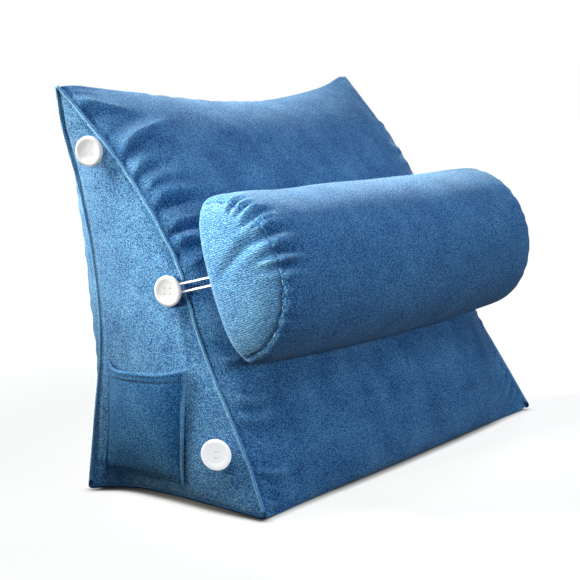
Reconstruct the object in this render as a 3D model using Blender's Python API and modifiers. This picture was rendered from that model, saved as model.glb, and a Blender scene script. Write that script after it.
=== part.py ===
"""Wedge reading pillow with a buttoned-on neck roll and a pocket on one side.

Metres, +Z up. The pillow stands on its base: the origin is the middle of the base, on the floor.
The sloping front panel faces -Y, the back +Y, and the pocket is on the left side, at -X.
"""
from math import copysign, cos, exp, log, pi, radians, sin, sqrt

import bmesh
import bpy
from mathutils import Matrix, Vector

# Driving dimensions of the wedge
WIDTH_BASE = 0.585
WIDTH_TOP = 0.560
DEPTH = 0.235
HEIGHT = 0.440
TOP_LEAN = 0.035            # how far the top corners stand behind the rear corners of the base
CORNER_LIFT = 0.0045        # height of the seam over the floor at the base corners
BASE_SEAM_LIFT = 0.005      # how much further the side's bottom seam rises between them
FRONT_CROWN = 0.056
FRONT_CREST_AT = 0.58       # where up the panel its crown is highest, as a share of the height
BACK_CROWN = 0.062
BACK_CREST_AT = 0.52
SIDE_CROWN = 0.014
SIDE_BREADTH = 0.55         # exponents: how fast a side's crown falls to its front and back seams,
SIDE_RISE = 0.75            # to its bottom and top,
SIDE_CREST_LIFT = 0.6       # and how low its crest lies: 1 is half-way up, and less is lower
EDGE_HANDLE = 0.036         # how broadly the panels turn round the ridge and the lower edges
REAR_RIDGE_HANDLE = 0.052   # the same where the back rises to the ridge
LOWER_CROWN_HANDLE = 0.150  # how far the crown's own slope carries on below its crest
UPPER_CROWN_HANDLE = 0.112  # and above it
LOWER_EDGE_INSET = 0.007    # how far the wedge's foot stands inside its base corners
RIDGE_INSET = 0.012         # the same for the ridge, ahead of the top corners
RIGHT_DRAW_SHARE = 0.4      # the right front seam is drawn in by this share of the left one
BASE_FLAT = 0.86            # the share of its width over which the base lies flat on the floor
CROWN_BREADTH = 2.6         # exponents: how broad the crown of the front and back is,
CROWN_STEEPNESS = 0.46      # and how steeply it falls to the seams
RIDGE_FADE = 3              # how soon the hang of the ridge fades out down the panels,
BOTTOM_FADE = 3             # the lift of the side's bottom seam up the side panels,
BASE_EDGE_FADE = 4          # and the draw-in of that seam across the base

# Driving dimensions of the neck roll. Its back is pressed flat against the sloping front.
ROLL_LENGTH = 0.544
ROLL_X = 0.006
ROLL_Y = -0.0582
ROLL_Z = 0.2348
ROLL_SAG = 0.0045           # how much lower its middle hangs than its ends
ROLL_TAPER = 0.030          # how much slimmer it is at its ends than in the middle, as a share
ROLL_LEAN = radians(17)
ROLL_TILT = radians(-0.8)
ROLL_HALF_HEIGHT = 0.0930
ROLL_FRONT = 0.0785
ROLL_BACK = 0.0200
ROLL_BACK_SQUARENESS = 2.4  # exponent of its back's outline: 2 is an ellipse, and more is flatter
ROLL_SHOULDER = 0.024       # length over which the roll rounds in to its end seam
CAP_SHARE = 0.90            # the end seam's outline as a share of the roll's
CAP_DOME = 0.017
CAP_RINGS = (12, 35, 62)    # where the rings of the domed end panel lie, in degrees from its middle
SHOULDER_RINGS = (0, 22, 45, 68, 90)
PUCKER_WIDTH = radians(7)
PUCKER_AT_SEAM = 0.3        # how deep the puckers still are in the end seam, as a share
ROLL_CLEARANCE = 0.0009     # between the roll and the front that it presses in
PRESS_SPAN = 0.97           # the share of the roll's height over which it lies hard on the front
PRESS_SOFTNESS = 0.003      # how softly the front turns into the dent that the roll makes

# Driving dimensions of the trimmings
GAP = 0.0003
WELT_RADIUS = 0.0017
WELT_GAP = 0.0006           # between the raised seams and the wedge, whose panels round up beside them
WELT_DIP = 0.4              # how far a raised seam points down, for each 1 sideways, under a side
BUTTON_RADIUS = 0.0165
BUTTON_THICKNESS = 0.0045
BUTTON_RIM = 0.0030
BUTTON_DISH = 0.0012
HOLE_RADIUS = 0.0012
HOLE_PITCH = 0.0064
HOLE_SIDES = 8
BUTTON_SIDES = 24
SHANK_RADIUS = 0.0025
SHANK_LENGTH = 0.0045
SHANK_GAP = 0.0007          # between the foot of a shank and the side panel
ELASTIC_RADIUS = 0.00125
ELASTIC_SPREAD = 0.0085     # between the two strands where they are sewn to the roll
ELASTIC_INSET = 0.004       # how far in from the roll's end seam they are sewn
ELASTIC_RISE = 0.005        # and how far above its middle
POCKET_CLOTH = 0.0018
POCKET_DEPTH = 0.016
POCKET_SEAT = 0.0010        # between its sewn edges and the side panel
POCKET_MOUTH_SAG = 0.005
POCKET_SAG_FADE = 4         # exponents: how soon that sag fades out below the mouth,
POCKET_SQUARENESS = 3.5     # how squarely the pocket stands out across its width,
POCKET_RISE = 3             # how soon it stands out above its bottom edge,
POCKET_RISE_SOFTNESS = 0.8  # and how softly

# How finely the surfaces are cut into faces
FOOT_STEPS = 10             # up the panels, from the floor to just under the roll's lower edge
DENT_STEPS = 15             # past that edge, where the roll dents the front
RIDGE_STEPS = 22            # and on to the ridge
DENT_SPAN = (0.27, 0.43)    # where up the panels that edge lies, as shares of their height
ROW_CROWDING = 0.5          # how much closer the rows lie at the foot and the ridge: 0 is even
WIDTH_STEPS = 28
WIDTH_CROWDING = 0.8
SIDE_STEPS = 12
POCKET_STEPS = 12
POCKET_WIDTH_CROWDING = 0.6
POCKET_HEIGHT_CROWDING = 0.2
STRAND_STEPS = 4            # along each strand of an elastic loop
HOOK_STEP = 22              # degrees between the points of its turn round the shank
SHARP_ANGLE = radians(40)   # edges sharper than this are shaded as edges
ROLL_STEPS = 8
ROLL_SIDES = 48
HALVINGS = 24               # of the search for where the roll presses on the front

# The front seam of a side, from the base corner (t = 0) to the top corner (t = 1):
# how far it is drawn in towards the middle of the pillow, and how far it bows forward.
FRONT_SEAM = (
    {"t": 0.00, "draw_in": 0.000, "bow": 0.001},
    {"t": 0.12, "draw_in": 0.010, "bow": 0.003},
    {"t": 0.34, "draw_in": 0.021, "bow": 0.004},
    {"t": 0.46, "draw_in": 0.024, "bow": 0.013},
    {"t": 0.56, "draw_in": 0.024, "bow": 0.025},
    {"t": 0.70, "draw_in": 0.020, "bow": 0.027},
    {"t": 0.84, "draw_in": 0.013, "bow": 0.019},
    {"t": 0.93, "draw_in": 0.006, "bow": 0.009},
    {"t": 1.00, "draw_in": 0.000, "bow": 0.000},
)

# The back seam of a side, base to top: drawn in as above, and bowed to the rear.
BACK_SEAM = (
    {"t": 0.00, "draw_in": 0.000, "bow": 0.001},
    {"t": 0.16, "draw_in": 0.016, "bow": 0.000},
    {"t": 0.36, "draw_in": 0.027, "bow": -0.008},
    {"t": 0.56, "draw_in": 0.030, "bow": -0.005},
    {"t": 0.76, "draw_in": 0.022, "bow": 0.001},
    {"t": 0.90, "draw_in": 0.011, "bow": 0.006},
    {"t": 1.00, "draw_in": 0.000, "bow": 0.000},
)

# The bottom seam of a side, from the front corner (v = 0) to the rear one (v = 1).
BASE_SEAM = (
    {"v": 0.00, "draw_in": 0.000},
    {"v": 0.30, "draw_in": 0.004},
    {"v": 0.60, "draw_in": 0.014},
    {"v": 0.85, "draw_in": 0.018},
    {"v": 1.00, "draw_in": 0.000},
)

# How far the top ridge hangs below its two corners, from the left one (u = -1) to the right.
RIDGE = (
    {"u": -1.00, "sag": 0.0000},
    {"u": -0.93, "sag": -0.0010},
    {"u": -0.80, "sag": 0.0030},
    {"u": -0.60, "sag": 0.0090},
    {"u": -0.40, "sag": 0.0160},
    {"u": 0.00, "sag": 0.0260},
    {"u": 0.30, "sag": 0.0270},
    {"u": 0.60, "sag": 0.0185},
    {"u": 0.80, "sag": 0.0090},
    {"u": 0.94, "sag": -0.0015},
    {"u": 1.00, "sag": 0.0000},
)

# Puckers where the roll is gathered into its end seam: degrees round the roll from its top
# towards the front, and how deep each one dips.
ROLL_PUCKERS = (
    {"angle": 4, "depth": 0.0018},
    {"angle": 31, "depth": 0.0032},
    {"angle": 48, "depth": 0.0034},
    {"angle": 67, "depth": 0.0042},
    {"angle": 87, "depth": 0.0030},
    {"angle": 113, "depth": 0.0018},
    {"angle": 128, "depth": 0.0018},
)

# The buttons of a side: where each is sewn on, and how far it turns to the front.
BUTTONS = (
    {"name": "top", "y": 0.1125, "z": 0.371, "turn": radians(13)},
    {"name": "mid", "y": 0.0135, "z": 0.225, "turn": radians(8)},
    {"name": "low", "y": -0.0568, "z": 0.061, "turn": radians(18)},
)

# The pocket's corners on the left side.
POCKET = {
    "rear_top": (0.105, 0.1390),
    "front_top": (-0.011, 0.1430),
    "rear_low": (0.1055, 0.0200),
    "front_low": (-0.012, 0.0200),
}

BLUE = (0.045, 0.160, 0.370, 1.0)
BLUE_LIGHT = (0.075, 0.215, 0.440, 1.0)
WHITE = (0.850, 0.850, 0.870, 1.0)


def mix(a, b, share):
    return a + (b - a) * share


def bezier(start, start_handle, end_handle, end, share):
    rest = 1 - share
    return (start * rest ** 3 + start_handle * 3 * rest ** 2 * share
            + end_handle * 3 * rest * share ** 2 + end * share ** 3)


def smooth(rows, key, column, at):
    """A table's column at any place, on a smooth curve through its rows."""
    places = [row[key] for row in rows]
    values = [row[column] for row in rows]
    last = len(rows) - 1
    i = min(max(sum(place <= at for place in places) - 1, 0), last - 1)

    def slope(k):
        before, after = max(k - 1, 0), min(k + 1, last)
        return (values[after] - values[before]) / (places[after] - places[before])

    span = places[i + 1] - places[i]
    share = (at - places[i]) / span
    return bezier(values[i], values[i] + slope(i) * span / 3,
                  values[i + 1] - slope(i + 1) * span / 3, values[i + 1], share)


def graded(steps, crowding=0.5):
    """Shares from 0 to 1, set closer together towards both ends."""
    even = [k / steps for k in range(steps + 1)]
    return [mix(share, (1 - cos(pi * share)) / 2, crowding) for share in even]


def rows_up():
    """The shares of their height at which the panels have points."""
    start, end = DENT_SPAN
    rows = []
    for k in range(FOOT_STEPS):
        share = k / FOOT_STEPS
        rows.append(start * mix(share, 1 - cos(pi * share / 2), ROW_CROWDING))
    for k in range(DENT_STEPS):
        rows.append(mix(start, end, k / DENT_STEPS))
    for k in range(RIDGE_STEPS + 1):
        share = k / RIDGE_STEPS
        rows.append(mix(end, 1, mix(share, sin(pi * share / 2), ROW_CROWDING)))
    return rows


def front_seam(side, t):
    drawn = smooth(FRONT_SEAM, "t", "draw_in", t) * (RIGHT_DRAW_SHARE if side > 0 else 1)
    half = mix(WIDTH_BASE, WIDTH_TOP, t) / 2 - drawn
    y = -DEPTH / 2 + (DEPTH + TOP_LEAN) * t - smooth(FRONT_SEAM, "t", "bow", t)
    return Vector((side * half, y, mix(CORNER_LIFT, HEIGHT, t)))


def back_seam(side, t):
    half = mix(WIDTH_BASE, WIDTH_TOP, t) / 2 - smooth(BACK_SEAM, "t", "draw_in", t)
    y = DEPTH / 2 + TOP_LEAN * t + smooth(BACK_SEAM, "t", "bow", t)
    return Vector((side * half, y, mix(CORNER_LIFT, HEIGHT, t)))


def base_seam(side, v):
    half = WIDTH_BASE / 2 - smooth(BASE_SEAM, "v", "draw_in", v)
    y = mix(front_seam(side, 0).y, back_seam(side, 0).y, v)
    return Vector((side * half, y, CORNER_LIFT + BASE_SEAM_LIFT * sin(pi * v)))


SLOPE = Vector((0, DEPTH + TOP_LEAN, HEIGHT)).normalized()
OUT_OF_FRONT = Vector((0, -SLOPE.z, SLOPE.y))
UP_THE_BACK = Vector((0, TOP_LEAN, HEIGHT)).normalized()


def middle_of_front(t):
    """The front panel's profile at the middle of the pillow, from the floor to the ridge."""
    foot = Vector((0, -DEPTH / 2 + LOWER_EDGE_INSET, 0))
    ridge = Vector((0, DEPTH / 2 + TOP_LEAN - RIDGE_INSET, HEIGHT))
    on_line = Vector((0, -DEPTH / 2 + (DEPTH + TOP_LEAN) * FRONT_CREST_AT, HEIGHT * FRONT_CREST_AT))
    crest = on_line + OUT_OF_FRONT * FRONT_CROWN
    forward = Vector((0, -EDGE_HANDLE, 0))
    if t < FRONT_CREST_AT:
        below = crest - SLOPE * LOWER_CROWN_HANDLE
        return bezier(foot, foot + forward, below, crest, t / FRONT_CREST_AT)
    above = crest + SLOPE * UPPER_CROWN_HANDLE
    return bezier(crest, above, ridge + forward, ridge, (t - FRONT_CREST_AT) / (1 - FRONT_CREST_AT))


def middle_of_back(t):
    """The back panel's profile at the middle of the pillow, from the floor to the ridge."""
    foot = Vector((0, DEPTH / 2 - LOWER_EDGE_INSET, 0))
    ridge = Vector((0, DEPTH / 2 + TOP_LEAN - RIDGE_INSET, HEIGHT))
    on_line = Vector((0, DEPTH / 2 + TOP_LEAN * BACK_CREST_AT, HEIGHT * BACK_CREST_AT))
    crest = on_line + Vector((0, BACK_CROWN, 0))
    rearward = Vector((0, EDGE_HANDLE, 0))
    along = UP_THE_BACK * UPPER_CROWN_HANDLE
    if t < BACK_CREST_AT:
        return bezier(foot, foot + rearward, crest - along, crest, t / BACK_CREST_AT)
    broadly = Vector((0, REAR_RIDGE_HANDLE, 0))
    return bezier(crest, crest + along, ridge + broadly, ridge, (t - BACK_CREST_AT) / (1 - BACK_CREST_AT))


def lifted(u):
    """1 at a side's bottom seam, 0 where the base lies flat on the floor."""
    return max(0, (abs(u) - BASE_FLAT) / (1 - BASE_FLAT)) ** 2


def panel_point(seam, middle, t, u):
    """A point of the front or back: the seams at u = -1 and 1, swollen out to the middle's profile."""
    edge = seam(-1 if u < 0 else 1, t)
    flat = Vector((0, edge.y, HEIGHT * t))
    point = flat.lerp(middle(t), (1 - abs(u) ** CROWN_BREADTH) ** CROWN_STEEPNESS)
    corner_lift = CORNER_LIFT * (1 - t) * lifted(u)
    hang = smooth(RIDGE, "u", "sag", u) * t ** RIDGE_FADE
    return Vector((abs(u) * edge.x, point.y, point.z + corner_lift - hang))


def along_roll(x):
    """A place along the roll, from -1 at its left end to 1."""
    return 2 * (x - ROLL_X) / ROLL_LENGTH


def roll_middle(x):
    hang = ROLL_SAG * (1 - along_roll(x) ** 2)
    return Vector((x, ROLL_Y, ROLL_Z + (x - ROLL_X) * sin(ROLL_TILT) - hang))


def roll_girth(x):
    """The roll's section as a share of the one at its middle."""
    return 1 - ROLL_TAPER * along_roll(x) ** 2


ROLL_UP = Vector((0, sin(ROLL_LEAN), cos(ROLL_LEAN)))
ROLL_FORWARD = Vector((0, -cos(ROLL_LEAN), sin(ROLL_LEAN)))


def room_to_roll(x, base, direction):
    """How far from base, along direction, the back of the roll lies. Past the roll's edges it eases off."""
    half_height, back = ROLL_HALF_HEIGHT * roll_girth(x), ROLL_BACK * roll_girth(x)
    start = base - roll_middle(x)
    beside = start.dot(SLOPE)
    half_span = PRESS_SPAN * half_height * ROLL_UP.dot(SLOPE)
    past = max(abs(beside) - half_span, 0)
    start -= SLOPE * copysign(past, beside)
    behind, within = 0, -start.dot(ROLL_FORWARD) / direction.dot(ROLL_FORWARD)
    for _ in range(HALVINGS):
        reach = (behind + within) / 2
        point = start + direction * reach
        up, out = point.dot(ROLL_UP) / half_height, point.dot(ROLL_FORWARD) / back
        if abs(up) ** ROLL_BACK_SQUARENESS + abs(out) ** ROLL_BACK_SQUARENESS > 1:
            behind = reach
        else:
            within = reach
    return behind + past


def front_point(t, u):
    """A point of the front panel, pressed in where the roll lies against it."""
    free = panel_point(front_seam, middle_of_front, t, u)
    reach = free.y * OUT_OF_FRONT.y + free.z * OUT_OF_FRONT.z
    base = free - OUT_OF_FRONT * reach
    room = room_to_roll(free.x, base, OUT_OF_FRONT) - ROLL_CLEARANCE
    pressed = -PRESS_SOFTNESS * log(exp(-reach / PRESS_SOFTNESS) + exp(-room / PRESS_SOFTNESS))
    return base + OUT_OF_FRONT * pressed


def back_point(t, u):
    return panel_point(back_seam, middle_of_back, t, u)


def base_point(v, u):
    start, end = front_point(0, u), back_point(0, u)
    edge = base_seam(1, v)
    point = start.lerp(end, v)
    lift = (CORNER_LIFT + BASE_SEAM_LIFT * sin(pi * v)) * lifted(u)
    x = u * mix(WIDTH_BASE / 2, edge.x, abs(u) ** BASE_EDGE_FADE)
    return Vector((x, point.y, lift))


def side_point(side, t, v):
    """A point of a side panel: front seam at v = 0, back seam at v = 1, bottom seam at t = 0."""
    across = front_seam(side, t).lerp(back_seam(side, t), v)
    bottom = base_seam(side, v) - front_seam(side, 0).lerp(back_seam(side, 0), v)
    up = sin(pi * t ** SIDE_CREST_LIFT) ** SIDE_RISE
    swell = SIDE_CROWN * (4 * v * (1 - v)) ** SIDE_BREADTH * up
    return across + bottom * (1 - t) ** BOTTOM_FADE + Vector((side * swell, 0, 0))


def on_side(side, y, z):
    """The place on a side panel at a given depth and height."""
    t = (z - CORNER_LIFT) / (HEIGHT - CORNER_LIFT)
    front, back = front_seam(side, t).y, back_seam(side, t).y
    return side_point(side, t, (y - front) / (back - front))


def add_patch(bm, rows, columns, point):
    """A four-sided stretch of surface, with a point for each row and column."""
    grid = [[bm.verts.new(point(row, column)) for column in columns] for row in rows]
    for below, above in zip(grid, grid[1:]):
        for k in range(len(columns) - 1):
            bm.faces.new((below[k], below[k + 1], above[k + 1], above[k]))


def loft(bm, rings):
    """A closed body through rings of equal count, with a flat face at each end."""
    placed = [[bm.verts.new(point) for point in ring] for ring in rings]
    count = len(placed[0])
    for one, other in zip(placed, placed[1:]):
        for k in range(count):
            bm.faces.new((one[k], one[(k + 1) % count], other[(k + 1) % count], other[k]))
    bm.faces.new(placed[0])
    bm.faces.new(placed[-1])


def material(name, colour, roughness):
    made = bpy.data.materials.new(name)
    made.use_nodes = True
    shader = made.node_tree.nodes["Principled BSDF"]
    shader.inputs["Base Color"].default_value = colour
    shader.inputs["Roughness"].default_value = roughness
    shader.inputs["Metallic"].default_value = 0.0
    return made


def add_object(name, data, finish, collection):
    obj = bpy.data.objects.new(name, data)
    if not data.materials:
        data.materials.append(finish)
    collection.objects.link(obj)
    return obj


def mesh_from(bm, name, weld=1e-5):
    """The bmesh as a smooth-shaded mesh, with its patches welded and its faces turned out."""
    bmesh.ops.remove_doubles(bm, verts=bm.verts, dist=weld)
    bmesh.ops.dissolve_degenerate(bm, edges=bm.edges, dist=weld)
    bmesh.ops.recalc_face_normals(bm, faces=bm.faces)
    mesh = bpy.data.meshes.new(name)
    bm.to_mesh(mesh)
    bm.free()
    mesh.shade_smooth()
    mesh.set_sharp_from_angle(angle=SHARP_ANGLE)
    return mesh


def make_wedge(finish, collection):
    """The filled wedge: front, back, base and two side panels in one closed body."""
    slope, depth = rows_up(), graded(SIDE_STEPS)
    width = [2 * share - 1 for share in graded(WIDTH_STEPS, WIDTH_CROWDING)]
    bm = bmesh.new()
    add_patch(bm, slope, width, front_point)
    add_patch(bm, slope, width, back_point)
    add_patch(bm, depth, width, base_point)
    for side in (-1, 1):
        add_patch(bm, slope, depth, lambda t, v: side_point(side, t, v))
    add_object("wedge", mesh_from(bm, "wedge"), finish, collection)


def make_seam(side, finish, collection):
    """The raised seam of self-fabric that runs round a side panel, just clear of the wedge."""
    stand_off = WELT_RADIUS + WELT_GAP
    steps, base_steps = rows_up(), graded(SIDE_STEPS)
    runs = (
        ([front_seam(side, t) for t in steps], OUT_OF_FRONT),
        ([back_seam(side, t) for t in reversed(steps)], Vector((0, 1, 0))),
        ([base_seam(side, v) for v in reversed(base_steps)], Vector((0, 0, -WELT_DIP))),
    )
    path = []
    before = (Vector((side, 0, 0)) + runs[-1][1]).normalized()
    for points, facing in runs:
        away = (Vector((side, 0, 0)) + facing).normalized()
        path.append(points[0] + (before + away).normalized() * stand_off)
        path.extend(point + away * stand_off for point in points)
        before = away
    curve = bpy.data.curves.new(f"seam_{side}", "CURVE")
    curve.dimensions = "3D"
    curve.bevel_depth = WELT_RADIUS
    curve.bevel_resolution = 1
    line = curve.splines.new("POLY")
    line.points.add(len(path) - 1)
    for point, place in zip(line.points, path):
        point.co = (*place, 1)
    line.use_cyclic_u = True
    add_object("seam_left" if side < 0 else "seam_right", curve, finish, collection)


def roll_outline(x, share, puckered):
    """One ring round the roll, as a share of its full section, gathered by the end puckers."""
    ring = []
    for k in range(ROLL_SIDES):
        angle = 2 * pi * k / ROLL_SIDES
        rise, thickness = cos(angle), ROLL_FRONT * sin(angle)
        if sin(angle) < 0:
            rise = copysign(abs(cos(angle)) ** (2 / ROLL_BACK_SQUARENESS), cos(angle))
            thickness = -ROLL_BACK * abs(sin(angle)) ** (2 / ROLL_BACK_SQUARENESS)
        dip = 0.0
        for row in ROLL_PUCKERS:
            off = (angle - radians(row["angle"])) / PUCKER_WIDTH
            dip += puckered * row["depth"] * exp(-off * off)
        out = ROLL_UP * (ROLL_HALF_HEIGHT * rise) + ROLL_FORWARD * thickness
        ring.append(roll_middle(x) + out * share * roll_girth(x) - out.normalized() * dip)
    return ring


def shoulder_share(inset):
    """The roll's outline near its end seam, as a share of its full section."""
    return mix(CAP_SHARE, 1, sqrt(1 - (1 - inset / ROLL_SHOULDER) ** 2))


def make_roll(finish, collection):
    """The filled neck roll: a long body gathered into a flat end panel at each end."""
    half = ROLL_LENGTH / 2
    left = []
    for turn in map(radians, CAP_RINGS):
        left.append((-half - CAP_DOME * cos(turn), CAP_SHARE * sin(turn), 0.0))
    for turn in map(radians, SHOULDER_RINGS):
        inset = ROLL_SHOULDER * (1 - cos(turn))
        left.append((inset - half, shoulder_share(inset), cos(turn) if turn else PUCKER_AT_SEAM))
    inner = half - ROLL_SHOULDER
    body = [(mix(-inner, inner, k / ROLL_STEPS), 1.0, 0.0) for k in range(1, ROLL_STEPS)]
    right = [(-x, share, puckered) for x, share, puckered in reversed(left)]
    bm = bmesh.new()
    loft(bm, [roll_outline(ROLL_X + x, share, puckered) for x, share, puckered in left + body + right])
    add_object("bolster", mesh_from(bm, "bolster"), finish, collection)


def make_pocket(finish, collection):
    """The patch pocket: sewn down on three edges and standing open at its mouth."""
    across = graded(POCKET_STEPS, POCKET_WIDTH_CROWDING)
    up = graded(POCKET_STEPS, POCKET_HEIGHT_CROWDING)

    def point(b, a):
        low = Vector(POCKET["rear_low"]).lerp(Vector(POCKET["front_low"]), a)
        top = Vector(POCKET["rear_top"]).lerp(Vector(POCKET["front_top"]), a)
        y, z = low.lerp(top, b)
        fill = 1 - abs(2 * a - 1) ** POCKET_SQUARENESS
        fill *= (1 - (1 - b) ** POCKET_RISE) ** POCKET_RISE_SOFTNESS
        z -= POCKET_MOUTH_SAG * fill * b ** POCKET_SAG_FADE
        place = on_side(-1, y, z)
        return place + Vector((-1, 0, 0)) * (POCKET_SEAT + POCKET_DEPTH * fill)

    bm = bmesh.new()
    add_patch(bm, up, across, point)
    obj = add_object("pocket", mesh_from(bm, "pocket"), finish, collection)
    cloth = obj.modifiers.new("cloth", "SOLIDIFY")
    cloth.thickness = POCKET_CLOTH
    cloth.offset = 1


def button_place(side, row):
    """Where a button is sewn on, and the direction that it faces."""
    seat = on_side(side, row["y"], row["z"])
    facing = Vector((side * cos(row["turn"]), -sin(row["turn"]), 0))
    return seat, facing


def button_mesh():
    """A four-hole button with a dished middle on its thread shank, standing at z = 0 and facing +Z."""
    profile = (
        (0.0, SHANK_LENGTH + BUTTON_THICKNESS - BUTTON_DISH),
        (BUTTON_RADIUS - 2 * BUTTON_RIM, SHANK_LENGTH + BUTTON_THICKNESS - BUTTON_DISH),
        (BUTTON_RADIUS - BUTTON_RIM * 0.8, SHANK_LENGTH + BUTTON_THICKNESS),
        (BUTTON_RADIUS - BUTTON_RIM * 0.25, SHANK_LENGTH + BUTTON_THICKNESS * 0.85),
        (BUTTON_RADIUS, SHANK_LENGTH + BUTTON_THICKNESS * 0.5),
        (BUTTON_RADIUS - BUTTON_RIM * 0.5, SHANK_LENGTH),
        (SHANK_RADIUS, SHANK_LENGTH),
        (SHANK_RADIUS, 0.0),
        (0.0, 0.0),
    )
    bm = bmesh.new()
    line = [bm.verts.new((radius, 0, height)) for radius, height in profile]
    edges = [bm.edges.new(pair) for pair in zip(line, line[1:])]
    bmesh.ops.spin(bm, geom=line + edges, cent=(0, 0, 0), axis=(0, 0, 1), angle=2 * pi, steps=BUTTON_SIDES)
    blank = bpy.data.objects.new("button_blank", mesh_from(bm, "button_blank"))

    bm = bmesh.new()
    middle_height = SHANK_LENGTH + BUTTON_THICKNESS / 2
    for x in (-HOLE_PITCH / 2, HOLE_PITCH / 2):
        for y in (-HOLE_PITCH / 2, HOLE_PITCH / 2):
            bmesh.ops.create_cone(bm, cap_ends=True, segments=HOLE_SIDES, radius1=HOLE_RADIUS,
                                  radius2=HOLE_RADIUS, depth=2 * BUTTON_THICKNESS,
                                  matrix=Matrix.Translation((x, y, middle_height)))
    drills = bpy.data.objects.new("button_drills", mesh_from(bm, "button_drills"))

    for helper in (blank, drills):
        bpy.context.scene.collection.objects.link(helper)
    drilled = blank.modifiers.new("holes", "BOOLEAN")
    drilled.operation = "DIFFERENCE"
    drilled.solver = "EXACT"
    drilled.object = drills
    graph = bpy.context.evaluated_depsgraph_get()
    mesh = bpy.data.meshes.new_from_object(blank.evaluated_get(graph))
    mesh.name = "button"
    for helper in (blank, drills):
        bpy.data.objects.remove(helper)
    return mesh


def add_button(side, row, mesh, finish, collection):
    name = f"button_{'left' if side < 0 else 'right'}_{row['name']}"
    obj = add_object(name, mesh, finish, collection)
    seat, facing = button_place(side, row)
    stand_off = SHANK_GAP + SHANK_RADIUS * sin(row["turn"])
    turned = facing.to_track_quat("Z", "Y").to_matrix().to_4x4()
    obj.matrix_world = Matrix.Translation(seat + facing * stand_off) @ turned


def make_loop(side, finish, collection):
    """The elastic loop sewn to an end of the roll and hooked round the shank of the middle button."""
    row = next(row for row in BUTTONS if row["name"] == "mid")
    seat, facing = button_place(side, row)
    hook = seat + facing * (SHANK_GAP + SHANK_RADIUS * sin(row["turn"]) + SHANK_LENGTH / 2)
    end_x = ROLL_X + side * (ROLL_LENGTH / 2 - ELASTIC_INSET)
    girth = shoulder_share(ELASTIC_INSET) * roll_girth(end_x)
    behind = ROLL_BACK * girth + ELASTIC_RADIUS
    sewn = roll_middle(end_x) + ROLL_UP * ELASTIC_RISE - ROLL_FORWARD * behind
    apart = facing.cross(hook - sewn).normalized()
    along = apart.cross(facing)
    bend = SHANK_RADIUS + ELASTIC_RADIUS + 2 * GAP
    path = []
    for k in range(STRAND_STEPS):
        path.append((sewn + apart * (ELASTIC_SPREAD / 2)).lerp(hook + apart * bend, k / STRAND_STEPS))
    for turn in range(0, 181, HOOK_STEP):
        angle = radians(turn)
        path.append(hook + apart * (bend * cos(angle)) + along * (bend * sin(angle)))
    for k in reversed(range(STRAND_STEPS)):
        path.append((sewn - apart * (ELASTIC_SPREAD / 2)).lerp(hook - apart * bend, k / STRAND_STEPS))
    curve = bpy.data.curves.new(f"loop_{side}", "CURVE")
    curve.dimensions = "3D"
    curve.bevel_depth = ELASTIC_RADIUS
    curve.bevel_resolution = 1
    curve.use_fill_caps = True
    line = curve.splines.new("POLY")
    line.points.add(len(path) - 1)
    for point, place in zip(line.points, path):
        point.co = (*place, 1)
    add_object("loop_left" if side < 0 else "loop_right", curve, finish, collection)


for old in list(bpy.data.objects):
    bpy.data.objects.remove(old, do_unlink=True)
pillow = bpy.data.collections.new("wedge_reading_pillow")
bpy.context.scene.collection.children.link(pillow)

chenille = material("chenille", BLUE, 0.85)
side_cloth = material("side_cloth", BLUE_LIGHT, 0.9)
button_plastic = material("button_plastic", WHITE, 0.35)
elastic = material("elastic", WHITE, 0.7)

make_wedge(chenille, pillow)
make_roll(chenille, pillow)
make_pocket(side_cloth, pillow)
button = button_mesh()
for hand in (-1, 1):
    make_seam(hand, chenille, pillow)
    make_loop(hand, elastic, pillow)
    for place in BUTTONS:
        add_button(hand, place, button, button_plastic, pillow)
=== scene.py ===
"""Wedge reading pillow with a buttoned-on neck roll and a pocket on its left side.

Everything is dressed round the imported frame, in metres and in the frame's own axes, in the
order in which the pillow is put together: cover, raised seams, pocket, roll, buttons, elastic.
"""

import random
from math import atan2, copysign, cos, exp, hypot, log, pi, radians, sin, sqrt

import bmesh
import bpy
from mathutils import Matrix, Vector, noise


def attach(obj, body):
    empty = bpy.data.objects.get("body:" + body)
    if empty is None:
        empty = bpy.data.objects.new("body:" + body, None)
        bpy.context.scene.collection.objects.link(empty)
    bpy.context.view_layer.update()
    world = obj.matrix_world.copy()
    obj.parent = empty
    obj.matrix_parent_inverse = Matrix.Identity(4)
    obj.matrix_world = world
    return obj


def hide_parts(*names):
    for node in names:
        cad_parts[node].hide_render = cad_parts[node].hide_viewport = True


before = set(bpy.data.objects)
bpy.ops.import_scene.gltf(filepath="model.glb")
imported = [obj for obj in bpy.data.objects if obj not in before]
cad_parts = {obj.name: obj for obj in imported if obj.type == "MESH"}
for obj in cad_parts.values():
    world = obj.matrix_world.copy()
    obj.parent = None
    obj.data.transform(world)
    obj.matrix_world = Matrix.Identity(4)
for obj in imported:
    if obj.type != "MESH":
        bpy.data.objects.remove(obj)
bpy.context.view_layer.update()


# The wedge: a cover of short-piled chenille cut as a front, a back with the base, and two
# side panels, stuffed full with fibre. The cloth is eased into the side seams, which leaves
# soft puckers fanning out of them, and it is pressed in where the neck roll lies against it.
WIDTH_BASE, WIDTH_TOP = 0.585, 0.560
DEPTH, HEIGHT, TOP_LEAN = 0.235, 0.440, 0.035
CORNER_LIFT, BASE_SEAM_LIFT = 0.0045, 0.005
FRONT_CROWN, FRONT_CREST_AT = 0.056, 0.58
BACK_CROWN, BACK_CREST_AT = 0.062, 0.52
SIDE_CROWN = 0.014
EDGE_HANDLE, REAR_RIDGE_HANDLE = 0.036, 0.052
LOWER_CROWN_HANDLE, UPPER_CROWN_HANDLE = 0.150, 0.112
LOWER_EDGE_INSET, RIDGE_INSET = 0.007, 0.012
RIGHT_DRAW_SHARE = 0.4
BASE_FLAT = 0.86
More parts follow.
